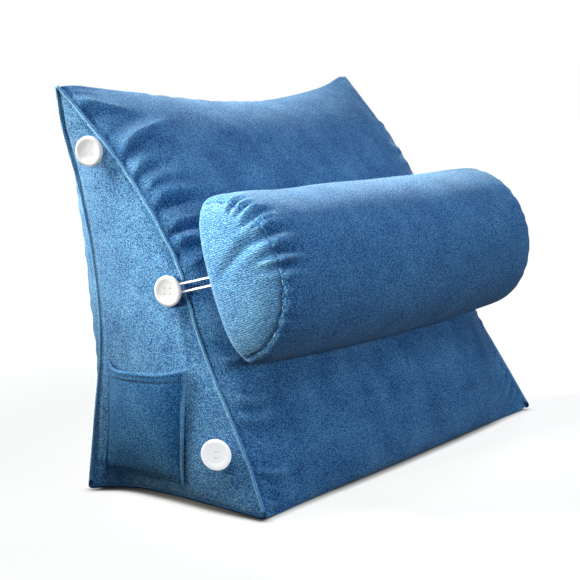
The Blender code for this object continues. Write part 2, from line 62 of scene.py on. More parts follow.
CROWN_BREADTH, CROWN_STEEPNESS = 2.6, 0.46
FRONT_SEAM = (
    {"t": 0.00, "draw_in": 0.000, "bow": 0.001},
    {"t": 0.12, "draw_in": 0.010, "bow": 0.003},
    {"t": 0.34, "draw_in": 0.021, "bow": 0.004},
    {"t": 0.46, "draw_in": 0.024, "bow": 0.013},
    {"t": 0.56, "draw_in": 0.024, "bow": 0.025},
    {"t": 0.70, "draw_in": 0.020, "bow": 0.027},
    {"t": 0.84, "draw_in": 0.013, "bow": 0.019},
    {"t": 0.93, "draw_in": 0.006, "bow": 0.009},
    {"t": 1.00, "draw_in": 0.000, "bow": 0.000},
)
BACK_SEAM = (
    {"t": 0.00, "draw_in": 0.000, "bow": 0.001},
    {"t": 0.16, "draw_in": 0.016, "bow": 0.000},
    {"t": 0.36, "draw_in": 0.027, "bow": -0.008},
    {"t": 0.56, "draw_in": 0.030, "bow": -0.005},
    {"t": 0.76, "draw_in": 0.022, "bow": 0.001},
    {"t": 0.90, "draw_in": 0.011, "bow": 0.006},
    {"t": 1.00, "draw_in": 0.000, "bow": 0.000},
)
BASE_SEAM = (
    {"v": 0.00, "draw_in": 0.000},
    {"v": 0.30, "draw_in": 0.004},
    {"v": 0.60, "draw_in": 0.014},
    {"v": 0.85, "draw_in": 0.018},
    {"v": 1.00, "draw_in": 0.000},
)
RIDGE = (
    {"u": -1.00, "sag": 0.0000},
    {"u": -0.93, "sag": -0.0010},
    {"u": -0.80, "sag": 0.0030},
    {"u": -0.60, "sag": 0.0090},
    {"u": -0.40, "sag": 0.0160},
    {"u": 0.00, "sag": 0.0260},
    {"u": 0.30, "sag": 0.0270},
    {"u": 0.60, "sag": 0.0185},
    {"u": 0.80, "sag": 0.0090},
    {"u": 0.94, "sag": -0.0015},
    {"u": 1.00, "sag": 0.0000},
)
ROLL_LENGTH, ROLL_X, ROLL_Y, ROLL_Z = 0.544, 0.006, -0.0582, 0.2348
ROLL_SAG, ROLL_TAPER = 0.0045, 0.030
ROLL_LEAN, ROLL_TILT = radians(17), radians(-0.8)
ROLL_HALF_HEIGHT, ROLL_FRONT, ROLL_BACK = 0.0930, 0.0785, 0.0200
ROLL_BACK_SQUARENESS = 2.4
ROLL_CLEARANCE, PRESS_SPAN, PRESS_SOFTNESS = 0.0009, 0.97, 0.003

# Puckers that run in from the left front seam: where each starts and ends up the panel,
# how far in it reaches as a share of the half width, its height and half its width in metres.
FRONT_PUCKERS = (
    {"start": 0.915, "end": 0.880, "reach": 0.13, "height": -0.0042, "width": 0.0100},
    {"start": 0.955, "end": 0.900, "reach": 0.16, "height": 0.0028, "width": 0.0075},
    {"start": 0.815, "end": 0.826, "reach": 0.26, "height": 0.0040, "width": 0.0065},
    {"start": 0.850, "end": 0.858, "reach": 0.20, "height": -0.0018, "width": 0.0070},
    {"start": 0.768, "end": 0.762, "reach": 0.11, "height": 0.0028, "width": 0.0050},
    {"start": 0.790, "end": 0.795, "reach": 0.15, "height": -0.0022, "width": 0.0055},
    {"start": 0.727, "end": 0.712, "reach": 0.19, "height": 0.0030, "width": 0.0055},
    {"start": 0.746, "end": 0.738, "reach": 0.16, "height": -0.0022, "width": 0.0055},
    {"start": 0.697, "end": 0.670, "reach": 0.24, "height": 0.0034, "width": 0.0060},
    {"start": 0.670, "end": 0.652, "reach": 0.22, "height": -0.0026, "width": 0.0060},
    {"start": 0.638, "end": 0.616, "reach": 0.24, "height": 0.0032, "width": 0.0055},
    {"start": 0.606, "end": 0.590, "reach": 0.19, "height": 0.0030, "width": 0.0055},
    {"start": 0.621, "end": 0.603, "reach": 0.20, "height": -0.0024, "width": 0.0050},
    {"start": 0.556, "end": 0.558, "reach": 0.12, "height": 0.0024, "width": 0.0050},
    {"start": 0.580, "end": 0.576, "reach": 0.14, "height": -0.0020, "width": 0.0050},
    {"start": 0.350, "end": 0.375, "reach": 0.12, "height": 0.0030, "width": 0.0060},
    {"start": 0.272, "end": 0.296, "reach": 0.14, "height": 0.0030, "width": 0.0060},
    {"start": 0.230, "end": 0.268, "reach": 0.16, "height": 0.0026, "width": 0.0060},
    {"start": 0.113, "end": 0.140, "reach": 0.17, "height": 0.0026, "width": 0.0065},
)
PUCKER_LIFT, PUCKER_RISE, PUCKER_RUN = 1.8, 0.12, 1.6
TUCK_DEPTH, TUCK_INSET, TUCK_WIDTH = 0.0020, 0.0036, 0.0026
COVER_ROWS, COVER_COLUMNS, SIDE_COLUMNS = 190, 160, 56

# The small irregular gathers beside each panel's seams: their own seed, depth and spacing in metres.
GATHERS = {
    "front_left": {"seed": 11.3, "depth": 0.0022, "spacing": 0.009},
    "front_right": {"seed": 27.9, "depth": 0.0042, "spacing": 0.011},
    "front_ridge": {"seed": 41.7, "depth": 0.0030, "spacing": 0.020},
    "front_foot": {"seed": 53.1, "depth": 0.0022, "spacing": 0.016},
    "back_left": {"seed": 61.3, "depth": 0.0044, "spacing": 0.012},
    "back_right": {"seed": 67.7, "depth": 0.0044, "spacing": 0.012},
    "back_ridge": {"seed": 71.9, "depth": 0.0026, "spacing": 0.018},
    "back_foot": {"seed": 73.3, "depth": 0.0024, "spacing": 0.016},
    "side_fore": {"seed": 83.1, "depth": 0.0016, "spacing": 0.010},
    "side_rear": {"seed": 89.9, "depth": 0.0016, "spacing": 0.010},
}
GATHER_REACH, GATHER_STRAY, GATHER_SLANT, GATHER_RISE = 0.030, 0.022, 0.25, 0.009
GATHER_DRIFT, GATHER_LENGTH = 0.05, 0.08
FRONT_SWELL, BACK_SWELL, SIDE_SWELL = 0.0016, 0.0018, 0.0010
SWELL_BREADTH, SWELL_FINE_BREADTH, SWELL_FINE_SHARE = 0.085, 0.032, 0.35
# Relief fades out towards the seams, in metres from the sides and in shares of the height from the
# foot and the ridge.
SIDE_FADE, FOOT_FADE, RIDGE_FADE = 0.012, 0.05, 0.04
PUCKER_FOOT_FADE, PUCKER_RIDGE_FADE = 0.04, 0.03
PANEL_SIDE_FADE, PANEL_RIDGE_FADE = 0.010, 0.10


def mix(a, b, share):
    return a + (b - a) * share


def ease(share):
    """0 below 0, 1 above 1, and a soft rise between."""
    share = min(max(share, 0), 1)
    return share * share * (3 - 2 * share)


def bezier(start, start_handle, end_handle, end, share):
    rest = 1 - share
    return (start * rest ** 3 + start_handle * 3 * rest ** 2 * share
            + end_handle * 3 * rest * share ** 2 + end * share ** 3)


def smooth(rows, key, column, at):
    """A table's column at any place, on a smooth curve through its rows."""
    places = [row[key] for row in rows]
    values = [row[column] for row in rows]
    last = len(rows) - 1
    i = min(max(sum(place <= at for place in places) - 1, 0), last - 1)

    def slope(k):
        before, after = max(k - 1, 0), min(k + 1, last)
        return (values[after] - values[before]) / (places[after] - places[before])

    span = places[i + 1] - places[i]
    share = (at - places[i]) / span
    return bezier(values[i], values[i] + slope(i) * span / 3,
                  values[i + 1] - slope(i + 1) * span / 3, values[i + 1], share)


def graded(steps, crowding=0.5):
    """Shares from 0 to 1, set closer together towards both ends."""
    even = [k / steps for k in range(steps + 1)]
    return [mix(share, (1 - cos(pi * share)) / 2, crowding) for share in even]


def front_seam(side, t):
    drawn = smooth(FRONT_SEAM, "t", "draw_in", t) * (RIGHT_DRAW_SHARE if side > 0 else 1)
    half = mix(WIDTH_BASE, WIDTH_TOP, t) / 2 - drawn
    y = -DEPTH / 2 + (DEPTH + TOP_LEAN) * t - smooth(FRONT_SEAM, "t", "bow", t)
    return Vector((side * half, y, mix(CORNER_LIFT, HEIGHT, t)))


def back_seam(side, t):
    half = mix(WIDTH_BASE, WIDTH_TOP, t) / 2 - smooth(BACK_SEAM, "t", "draw_in", t)
    y = DEPTH / 2 + TOP_LEAN * t + smooth(BACK_SEAM, "t", "bow", t)
    return Vector((side * half, y, mix(CORNER_LIFT, HEIGHT, t)))


def base_seam(side, v):
    half = WIDTH_BASE / 2 - smooth(BASE_SEAM, "v", "draw_in", v)
    y = mix(front_seam(side, 0).y, back_seam(side, 0).y, v)
    return Vector((side * half, y, CORNER_LIFT + BASE_SEAM_LIFT * sin(pi * v)))


SLOPE = Vector((0, DEPTH + TOP_LEAN, HEIGHT)).normalized()
OUT_OF_FRONT = Vector((0, -SLOPE.z, SLOPE.y))
UP_THE_BACK = Vector((0, TOP_LEAN, HEIGHT)).normalized()


def middle_of_front(t):
    """The front panel's profile at the middle of the pillow, from the floor to the ridge."""
    foot = Vector((0, -DEPTH / 2 + LOWER_EDGE_INSET, 0))
    ridge = Vector((0, DEPTH / 2 + TOP_LEAN - RIDGE_INSET, HEIGHT))
    on_line = Vector((0, -DEPTH / 2 + (DEPTH + TOP_LEAN) * FRONT_CREST_AT, HEIGHT * FRONT_CREST_AT))
    crest = on_line + OUT_OF_FRONT * FRONT_CROWN
    forward = Vector((0, -EDGE_HANDLE, 0))
    if t < FRONT_CREST_AT:
        below = crest - SLOPE * LOWER_CROWN_HANDLE
        return bezier(foot, foot + forward, below, crest, t / FRONT_CREST_AT)
    above = crest + SLOPE * UPPER_CROWN_HANDLE
    return bezier(crest, above, ridge + forward, ridge, (t - FRONT_CREST_AT) / (1 - FRONT_CREST_AT))


def middle_of_back(t):
    """The back panel's profile at the middle of the pillow, from the floor to the ridge."""
    foot = Vector((0, DEPTH / 2 - LOWER_EDGE_INSET, 0))
    ridge = Vector((0, DEPTH / 2 + TOP_LEAN - RIDGE_INSET, HEIGHT))
    on_line = Vector((0, DEPTH / 2 + TOP_LEAN * BACK_CREST_AT, HEIGHT * BACK_CREST_AT))
    crest = on_line + Vector((0, BACK_CROWN, 0))
    rearward = Vector((0, EDGE_HANDLE, 0))
    along = UP_THE_BACK * UPPER_CROWN_HANDLE
    if t < BACK_CREST_AT:
        return bezier(foot, foot + rearward, crest - along, crest, t / BACK_CREST_AT)
    broadly = Vector((0, REAR_RIDGE_HANDLE, 0))
    return bezier(crest, crest + along, ridge + broadly, ridge, (t - BACK_CREST_AT) / (1 - BACK_CREST_AT))


def lifted(u):
    """1 at a side's bottom seam, 0 where the base lies flat on the floor."""
    return max(0, (abs(u) - BASE_FLAT) / (1 - BASE_FLAT)) ** 2


def panel_point(seam, middle, t, u):
    """A point of the front or back: the seams at u = -1 and 1, swollen out to the middle's profile."""
    edge = seam(-1 if u < 0 else 1, t)
    flat = Vector((0, edge.y, HEIGHT * t))
    point = flat.lerp(middle(t), (1 - abs(u) ** CROWN_BREADTH) ** CROWN_STEEPNESS)
    corner_lift = CORNER_LIFT * (1 - t) * lifted(u)
    hang = smooth(RIDGE, "u", "sag", u) * t ** 3
    return Vector((abs(u) * edge.x, point.y, point.z + corner_lift - hang))


def along_roll(x):
    """A place along the roll, from -1 at its left end to 1."""
    return 2 * (x - ROLL_X) / ROLL_LENGTH


def roll_middle(x):
    hang = ROLL_SAG * (1 - along_roll(x) ** 2)
    return Vector((x, ROLL_Y, ROLL_Z + (x - ROLL_X) * sin(ROLL_TILT) - hang))


def roll_girth(x):
    """The roll's section as a share of the one at its middle."""
    return 1 - ROLL_TAPER * along_roll(x) ** 2


ROLL_UP = Vector((0, sin(ROLL_LEAN), cos(ROLL_LEAN)))
ROLL_FORWARD = Vector((0, -cos(ROLL_LEAN), sin(ROLL_LEAN)))
HALVINGS = 22


def room_to_roll(x, base, direction):
    """How far from base, along direction, the back of the roll lies. Past its edges it eases off."""
    half_height, back = ROLL_HALF_HEIGHT * roll_girth(x), ROLL_BACK * roll_girth(x)
    start = base - roll_middle(x)
    beside = start.dot(SLOPE)
    half_span = PRESS_SPAN * half_height * ROLL_UP.dot(SLOPE)
    past = max(abs(beside) - half_span, 0)
    start -= SLOPE * copysign(past, beside)
    up_start, up_run = start.dot(ROLL_UP) / half_height, direction.dot(ROLL_UP) / half_height
    out_start, out_run = start.dot(ROLL_FORWARD) / back, direction.dot(ROLL_FORWARD) / back
    behind, within = 0, -out_start / out_run
    for _ in range(HALVINGS):
        reach = (behind + within) / 2
        up, out = abs(up_start + up_run * reach), abs(out_start + out_run * reach)
        if up ** ROLL_BACK_SQUARENESS + out ** ROLL_BACK_SQUARENESS > 1:
            behind = reach
        else:
            within = reach
    return behind + past


def front_puckers(t, inward):
    """The height of the left front seam's own puckers, inward as a share of the half width."""
    total = 0
    for row in FRONT_PUCKERS:
        along = inward / row["reach"]
        if 0 < along < PUCKER_RUN:
            off = (t - mix(row["start"], row["end"], along)) * HEIGHT / SLOPE.z / row["width"]
            fade = ease(along / PUCKER_RISE) * ease(1 - along / PUCKER_RUN)
            total += PUCKER_LIFT * row["height"] * exp(-off * off) * fade
    return total * ease((1 - t) / PUCKER_RIDGE_FADE) * ease(t / PUCKER_FOOT_FADE)


def gathers(seam, along, inward, shift=0):
    """Irregular soft puckers beside a seam, both places in metres."""
    row = GATHERS[seam]
    seed = row["seed"] + shift
    reach = GATHER_REACH + GATHER_STRAY * noise.noise(Vector((along / GATHER_DRIFT, seed, 3.0)))
    if inward > 3 * reach:
        return 0
    slanted = (along + GATHER_SLANT * inward) / row["spacing"]
    wave = noise.noise(Vector((slanted, inward / GATHER_LENGTH, seed)))
    return row["depth"] * wave * ease(inward / GATHER_RISE) * exp(-(inward / reach) ** 2)


def swell(place, seed, height):
    """The slow unevenness of the stuffing under the cloth."""
    broad = noise.noise(place / SWELL_BREADTH + Vector((seed, 0, 0)))
    fine = noise.noise(place / SWELL_FINE_BREADTH + Vector((0, seed, 0)))
    return height * (broad + SWELL_FINE_SHARE * fine)


def seam_tuck(inward):
    """How deep the cloth is drawn in close beside a raised seam."""
    off = (inward - TUCK_INSET) / TUCK_WIDTH
    return TUCK_DEPTH * exp(-off * off) * ease(inward / TUCK_INSET)


def off_seams(inward, t, side=SIDE_FADE, ridge=RIDGE_FADE):
    """0 on a panel's side seams, its foot and its ridge, and 1 a little way in."""
    return ease(inward / side) * ease(t / FOOT_FADE) * ease((1 - t) / ridge)


def edge_gathers(panel, length, t, u):
    """The gathers along the four seams of the front or the back, which has that length up the pillow."""
    inward = (1 - abs(u)) * WIDTH_BASE / 2
    across = (u + 1) * WIDTH_TOP / 2
    hand = "left" if u < 0 else "right"
    relief = gathers(f"{panel}_{hand}", t * length, inward) * off_seams(inward, t)
    relief += gathers(f"{panel}_ridge", across, (1 - t) * length) * ease(inward / SIDE_FADE)
    return relief + gathers(f"{panel}_foot", across, t * length) * ease(inward / SIDE_FADE)


def front_relief(free, t, u):
    inward = (1 - abs(u)) * WIDTH_BASE / 2
    relief = swell(free, 4.0, FRONT_SWELL) * off_seams(inward, t) - seam_tuck(inward)
    if u < 0:
        relief += front_puckers(t, 1 - abs(u))
    return relief + edge_gathers("front", HEIGHT / SLOPE.z, t, u)


def front_point(t, u):
    """A point of the front panel, pressed in where the roll lies against it."""
    free = panel_point(front_seam, middle_of_front, t, u)
    reach = free.y * OUT_OF_FRONT.y + free.z * OUT_OF_FRONT.z
    base = free - OUT_OF_FRONT * reach
    reach += front_relief(free, t, u)
    room = room_to_roll(free.x, base, OUT_OF_FRONT) - ROLL_CLEARANCE
    pressed = -PRESS_SOFTNESS * log(exp(-reach / PRESS_SOFTNESS) + exp(-room / PRESS_SOFTNESS))
    return base + OUT_OF_FRONT * pressed


def back_point(t, u):
    free = panel_point(back_seam, middle_of_back, t, u)
    inward = (1 - abs(u)) * WIDTH_BASE / 2
    relief = swell(free, 9.0, BACK_SWELL) * off_seams(inward, t) + edge_gathers("back", HEIGHT, t, u)
    return free + Vector((0, relief, 0))


def base_point(v, u):
    edge = base_seam(1, v)
    point = front_point(0, u).lerp(back_point(0, u), v)
    x = u * mix(WIDTH_BASE / 2, edge.x, abs(u) ** 4)
    return Vector((x, point.y, edge.z * lifted(u)))


# Soft ridges and dents of the side panels, from one place to another, and the seats of the three
# buttons on each, with how far each button turns forward. Places are y and z in metres.
SIDE_FOLDS = (
    {"start": (0.007, 0.205), "end": (-0.010, 0.148), "height": 0.0020, "width": 0.0060},
    {"start": (0.022, 0.200), "end": (0.006, 0.150), "height": -0.0012, "width": 0.0070},
    {"start": (-0.088, 0.043), "end": (-0.066, 0.036), "height": 0.0016, "width": 0.0055},
)
BUTTONS = (
    {"name": "top", "y": 0.1125, "z": 0.371, "turn": radians(13)},
    {"name": "mid", "y": 0.0135, "z": 0.225, "turn": radians(8)},
    {"name": "low", "y": -0.0568, "z": 0.061, "turn": radians(18)},
)
SEAT_DIMPLE, SEAT_WIDTH, FOLD_FADE = 0.0010, 0.0085, 0.006
FORE_TUCK_SHARE, REAR_TUCK_SHARE = 0.35, 0.8
SIDE_CROWN_BREADTH, SIDE_CREST_HEIGHT, SIDE_CROWN_RISE = 0.55, 0.6, 0.75


def beside(fold, place):
    """How far along a fold a place is, as a share of it, and how far off it, in its widths."""
    (y0, z0), (y1, z1) = fold["start"], fold["end"]
    run = ((place.y - y0) * (y1 - y0) + (place.z - z0) * (z1 - z0)) / ((y1 - y0) ** 2 + (z1 - z0) ** 2)
    return run, hypot(place.y - mix(y0, y1, run), place.z - mix(z0, z1, run)) / fold["width"]


def rise_and_fall(run, start, rise, fall, end):
    """A fold's strength along its run: it rises from its start and dies away at its end."""
    return ease((run - start) / rise) * ease((end - run) / fall)


def side_relief(side, place, t, v):
    inward = min(v, 1 - v) * (back_seam(side, t) - front_seam(side, t)).length
    at_edges = off_seams(inward, t, PANEL_SIDE_FADE, PANEL_RIDGE_FADE)
    relief = swell(place, 14.0 + side, SIDE_SWELL) * at_edges
    relief += gathers("side_fore" if v < 0.5 else "side_rear", t * HEIGHT, inward, side) * at_edges
    tuck = seam_tuck(inward) * (REAR_TUCK_SHARE if v > 0.5 else FORE_TUCK_SHARE)
    relief -= tuck * ease(t / FOOT_FADE) * ease((1 - t) / PANEL_RIDGE_FADE)
    clear = ease(inward / FOLD_FADE)
    for fold in SIDE_FOLDS:
        run, off = beside(fold, place)
        relief += fold["height"] * exp(-off * off) * rise_and_fall(run, -0.3, 0.5, 0.5, 1.3) * clear
    for button in BUTTONS:
        off = hypot(place.y - button["y"], place.z - button["z"]) / SEAT_WIDTH
        pressed = exp(-off * off) * clear
        relief = relief * (1 - pressed) - SEAT_DIMPLE * pressed
    return relief


def side_point(side, t, v):
    """A point of a side panel: front seam at v = 0, back seam at v = 1, bottom seam at t = 0."""
    across = front_seam(side, t).lerp(back_seam(side, t), v)
    bottom = base_seam(side, v) - front_seam(side, 0).lerp(back_seam(side, 0), v)
    crown = (4 * v * (1 - v)) ** SIDE_CROWN_BREADTH * sin(pi * t ** SIDE_CREST_HEIGHT) ** SIDE_CROWN_RISE
    place = across + bottom * (1 - t) ** 3 + Vector((side * SIDE_CROWN * crown, 0, 0))
    return place + Vector((side * side_relief(side, place, t, v), 0, 0))


def on_side(side, y, z):
    """The place on a side panel at a given depth and height."""
    t = (z - CORNER_LIFT) / (HEIGHT - CORNER_LIFT)
    front, back = front_seam(side, t).y, back_seam(side, t).y
    return side_point(side, t, (y - front) / (back - front))


def add_patch(bm, rows, columns, point, look=0):
    """A four-sided stretch of surface, with a point for each row and column."""
    grid = [[bm.verts.new(point(row, column)) for column in columns] for row in rows]
    for below, above in zip(grid, grid[1:]):
        for k in range(len(columns) - 1):
            face = bm.faces.new((below[k], below[k + 1], above[k + 1], above[k]))
            face.material_index = look
    return grid


def mesh_from(bm, name, weld=1e-5):
    """The bmesh as a smooth-shaded mesh, with its patches welded and its faces turned out."""
    bmesh.ops.remove_doubles(bm, verts=bm.verts, dist=weld)
    bmesh.ops.dissolve_degenerate(bm, edges=bm.edges, dist=weld)
    bmesh.ops.recalc_face_normals(bm, faces=bm.faces)
    mesh = bpy.data.meshes.new(name)
    bm.to_mesh(mesh)
    bm.free()
    mesh.shade_smooth()
    return mesh


def add_piece(name, mesh, looks, slot, *nodes, place=Matrix()):
    """A piece of the pillow in its materials and its place, standing for the frame's nodes, if any."""
    piece = bpy.data.objects.new(name, mesh)
    for look in looks:
        mesh.materials.append(look)
    bpy.context.scene.collection.objects.link(piece)
    piece.matrix_world = place
    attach(piece, "root")
    if nodes:
        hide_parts(*nodes)
    return piece


def feed(tree, node, values):
    """Each value set on a node's input, or linked to it where it is a socket."""
    for key, value in values.items():
        if isinstance(value, bpy.types.NodeSocket):
            tree.links.new(value, node.inputs[key])
        else:
            node.inputs[key].default_value = value


def add_node(tree, kind, values=None, **settings):
    """A shader node with its settings and what it is fed."""
    made = tree.nodes.new(kind)
    for name, value in settings.items():
        setattr(made, name, value)
    feed(tree, made, values or {})
    return made


def reckon(tree, operation, *values):
    """The result of a Math node for its values or sockets."""
    return add_node(tree, "ShaderNodeMath", dict(enumerate(values)), operation=operation).outputs[0]


def ramp(tree, share, *stops):
    """The colour at a share, from stops of a place from 0 to 1 and a colour."""
    made = add_node(tree, "ShaderNodeValToRGB", {0: share})
    elements = made.color_ramp.elements
    elements[0].position, elements[0].color = stops[0]
    elements[1].position, elements[1].color = stops[-1]
    for place, colour in stops[1:-1]:
        elements.new(place).color = colour
    return made.outputs["Color"]


def new_group(name, inputs, outputs):
    """A shader node group with its named sockets: its tree, and what it is given."""
    tree = bpy.data.node_groups.new(name, "ShaderNodeTree")
    for key, kind, value in inputs:
        tree.interface.new_socket(name=key, in_out="INPUT", socket_type=kind).default_value = value
    for key, kind in outputs:
        tree.interface.new_socket(name=key, in_out="OUTPUT", socket_type=kind)
    return tree, add_node(tree, "NodeGroupInput").outputs


def new_material(name):
    """A material, its node tree and its Principled shader."""
    made = bpy.data.materials.new(name)
    made.use_nodes = True
    return made, made.node_tree, made.node_tree.nodes["Principled BSDF"]


TUFT_STRAY, RIB_STRAY, FIBRE_SHARE, BRUSHED_SCALE = 0.9, 1.6, 0.35, 26.0


def chenille_group():
    """Tufted pile: rows of small loops or tufts, loose fibres and brushed patches."""
    tree, given = new_group("chenille pile", (
        ("Place", "NodeSocketVector", (0, 0, 0)),
        ("Tuft size", "NodeSocketFloat", 0.0019),
        ("Rib direction", "NodeSocketVector", (1, 0, 0)),
        ("Rib pitch", "NodeSocketFloat", 0.0020),
        ("Rib share", "NodeSocketFloat", 0.3),
        ("Tuft contrast", "NodeSocketFloat", 0.5),
        ("Nap contrast", "NodeSocketFloat", 0.5),
    ), (("Height", "NodeSocketFloat"), ("Shade", "NodeSocketFloat")))
    per_tuft = reckon(tree, "DIVIDE", 1.0, given["Tuft size"])
    scaled = add_node(tree, "ShaderNodeVectorMath", {0: given["Place"], "Scale": per_tuft},
                      operation="SCALE").outputs[0]
    wander = add_node(tree, "ShaderNodeTexNoise", {"Vector": scaled, "Scale": 0.6, "Detail": 1.0}).outputs
    strayed = add_node(tree, "ShaderNodeVectorMath", {0: wander["Color"], 1: (TUFT_STRAY,) * 3, 2: scaled},
                       operation="MULTIPLY_ADD").outputs[0]
    cells = add_node(tree, "ShaderNodeTexVoronoi", {"Vector": strayed, "Scale": 1.0, "Randomness": 0.9},
                     feature="F1").outputs["Distance"]
    tufts = add_node(tree, "ShaderNodeMapRange",
                     {"Value": cells, "From Min": 0.05, "From Max": 0.75, "To Min": 1.0, "To Max": 0.0},
                     interpolation_type="SMOOTHSTEP").outputs[0]
    across = add_node(tree, "ShaderNodeVectorMath", {0: given["Place"], 1: given["Rib direction"]},
                      operation="DOT_PRODUCT").outputs["Value"]
    counted = reckon(tree, "DIVIDE", across, given["Rib pitch"])
    shifted = reckon(tree, "MULTIPLY_ADD", wander["Fac"], RIB_STRAY, counted)
    wave = reckon(tree, "SINE", reckon(tree, "MULTIPLY", shifted, 2 * pi))
    ribs = add_node(tree, "ShaderNodeMapRange", {"Value": wave, "From Min": -1.0, "From Max": 1.0}).outputs[0]
    relief = add_node(tree, "ShaderNodeMix", {0: given["Rib share"], 2: tufts, 3: ribs}).outputs[0]
    fibres = add_node(tree, "ShaderNodeTexNoise",
                      {"Vector": scaled, "Scale": 2.6, "Detail": 3.0, "Roughness": 0.6}).outputs["Fac"]
    height = add_node(tree, "ShaderNodeMix", {0: FIBRE_SHARE, 2: relief, 3: fibres}).outputs[0]
    brushed = add_node(tree, "ShaderNodeTexNoise", {"Vector": given["Place"], "Scale": BRUSHED_SCALE,
                                                    "Detail": 3.0, "Roughness": 0.55}).outputs["Fac"]
    raised = reckon(tree, "SUBTRACT", height, 0.5)
    tuft_shade = reckon(tree, "MULTIPLY_ADD", raised, given["Tuft contrast"], 0.5)
    nap_shade = reckon(tree, "SUBTRACT", brushed, 0.5)
    shade = reckon(tree, "MULTIPLY_ADD", nap_shade, given["Nap contrast"], tuft_shade)
    add_node(tree, "NodeGroupOutput", {"Height": height, "Shade": shade})
    return tree


chenille_pile = chenille_group()
# Each cloth's blues: deep in the pile, at its middle and at its tips.
CLOTH_BLUES = (0.006, 0.040, 0.140, 1), (0.040, 0.156, 0.370, 1), (0.200, 0.385, 0.590, 1)
SHEEN_BLUE = (0.70, 0.86, 1.0, 1)
# How strongly the pile's colour is painted lighter on ridges and darker in creases: painted highlight and
# painted shade.
RIDGE_SHADING = 3.0


def chenille(name, blues, relief, sheen, ridge_shading=RIDGE_SHADING, **pattern):
    """A chenille cloth: the pile with its own values, painted lighter on its ridges and darker in its creases
    as painted highlight and shade, and a soft sheen.
    """
    made, tree, shader = new_material(name)
    values = {key.replace("_", " ").capitalize(): value for key, value in pattern.items()}
    values["Place"] = add_node(tree, "ShaderNodeTexCoord").outputs["Object"]
    pile = add_node(tree, "ShaderNodeGroup", values, node_tree=chenille_pile).outputs
    # Pointiness paints the colour lighter where the cloth bulges and darker where it folds in: painted
    # highlight and shade.
    bent = reckon(tree, "SUBTRACT", add_node(tree, "ShaderNodeNewGeometry").outputs["Pointiness"], 0.5)
    ridge_shaded_pile = reckon(tree, "MULTIPLY_ADD", bent, ridge_shading, pile["Shade"])
    rough = add_node(tree, "ShaderNodeMapRange", {"Value": pile["Shade"], "To Min": 0.95, "To Max": 0.78})
    bump = add_node(tree, "ShaderNodeBump", {"Height": pile["Height"], "Strength": 1.0, "Distance": relief})
    feed(tree, shader, {
        "Base Color": ramp(tree, ridge_shaded_pile, (0.1, blues[0]), (0.5, blues[1]), (0.9, blues[2])),
        "Roughness": rough.outputs[0],
        "Normal": bump.outputs[0],
        "Metallic": 0.0,
        "Specular IOR Level": 0.10,
        "Sheen Weight": sheen,
        "Sheen Roughness": 0.45,
        "Sheen Tint": SHEEN_BLUE,
    })
    return made


face_cloth = chenille("chenille_face", CLOTH_BLUES, relief=0.0009, sheen=0.18, tuft_size=0.0014,
                      rib_share=0.15, rib_direction=(0, 0.52, 0.85), tuft_contrast=1.1, nap_contrast=0.55)
side_cloth = chenille("chenille_side", CLOTH_BLUES, relief=0.0011, sheen=0.16, tuft_size=0.00135,
                      rib_share=0.25, rib_direction=(0, 0.55, 0.83), tuft_contrast=1.3, nap_contrast=0.5)

bm = bmesh.new()
heights, depths = graded(COVER_ROWS, 0.25), graded(SIDE_COLUMNS, 0.5)
widths = [2 * share - 1 for share in graded(COVER_COLUMNS, 0.45)]
add_patch(bm, heights, widths, front_point)
add_patch(bm, heights, widths, back_point)
add_patch(bm, depths, widths, base_point)
for side in (-1, 1):
    add_patch(bm, heights, depths, lambda t, v: side_point(side, t, v), 1)
cover = add_piece("wedge_cover", mesh_from(bm, "wedge_cover"), (face_cloth, side_cloth), "chenille", "wedge")


# The raised seams: where a side panel meets the front, back and base, the two cut edges are
# sewn together and turned out in one narrow ridge of the same cloth, with a needle line in it.
# Along the floor its colour is painted darker and duller than round the panel, as painted shade, since hardly
# any light gets there.
WELT_RADIUS, WELT_GAP, WELT_STEP, WELT_SIDES = 0.0017, 0.0006, 0.0016, 14
WELT_GROOVE, WELT_GROOVE_WIDTH, WELT_ROOT = 0.50, 0.55, 2.1
WELT_UPS, WELT_BASE_STEPS, PAINTED_SHADE_TOP = 160, 60, 0.0105
WELT_STRAY, WELT_FINE_STRAY, WELT_SWELL = 0.00055, 0.00025, 0.10
NEEDLE_PITCH, NEEDLE_LENGTH, THREAD_RADIUS, THREAD_SIDES = 0.0036, 0.0021, 0.00030, 6
# Painted highlight: the ridge's blues are paler than the panel cloth's, though it is the same cloth.
WELT_HIGHLIGHT_BLUES = (0.018, 0.080, 0.225, 1), (0.080, 0.225, 0.450, 1), (0.240, 0.450, 0.680, 1)
# Painted shade: darker blues for the ridge where it runs along the floor.
FLOOR_SHADE_BLUES = (0.003, 0.016, 0.055, 1), (0.010, 0.046, 0.125, 1), (0.040, 0.105, 0.200, 1)
WELT_PATTERN = {"relief": 0.0004, "tuft_size": 0.0013, "rib_share": 0.1, "tuft_contrast": 0.7,
                "nap_contrast": 0.3}
draw = random.Random(7)


def join_rings(bm, one, other, look=0):
    """A band of faces between two rings with as many points."""
    for k in range(len(one)):
        after = (k + 1) % len(one)
        bm.faces.new((one[k], one[after], other[after], other[k])).material_index = look


def sweep(bm, path, outward, section, cyclic=False, look=0):
    """A skin through rings square to a path: section(i) lists the (out, aside) of ring i's points."""
    count = len(path)
    rings = []
    for i, place in enumerate(path):
        before = path[i - 1] if cyclic or i else place
        after = path[(i + 1) % count] if cyclic or i < count - 1 else place
        aside = (after - before).normalized().cross(outward[i]).normalized()
        out = aside.cross((after - before).normalized())
        rings.append([bm.verts.new(place + out * o + aside * a) for o, a in section(i)])
    if cyclic:
        rings.append(rings[0])
    else:
        bm.faces.new(rings[0]).material_index = look
        bm.faces.new(rings[-1]).material_index = look
    for one, other in zip(rings, rings[1:]):
        join_rings(bm, one, other, look)


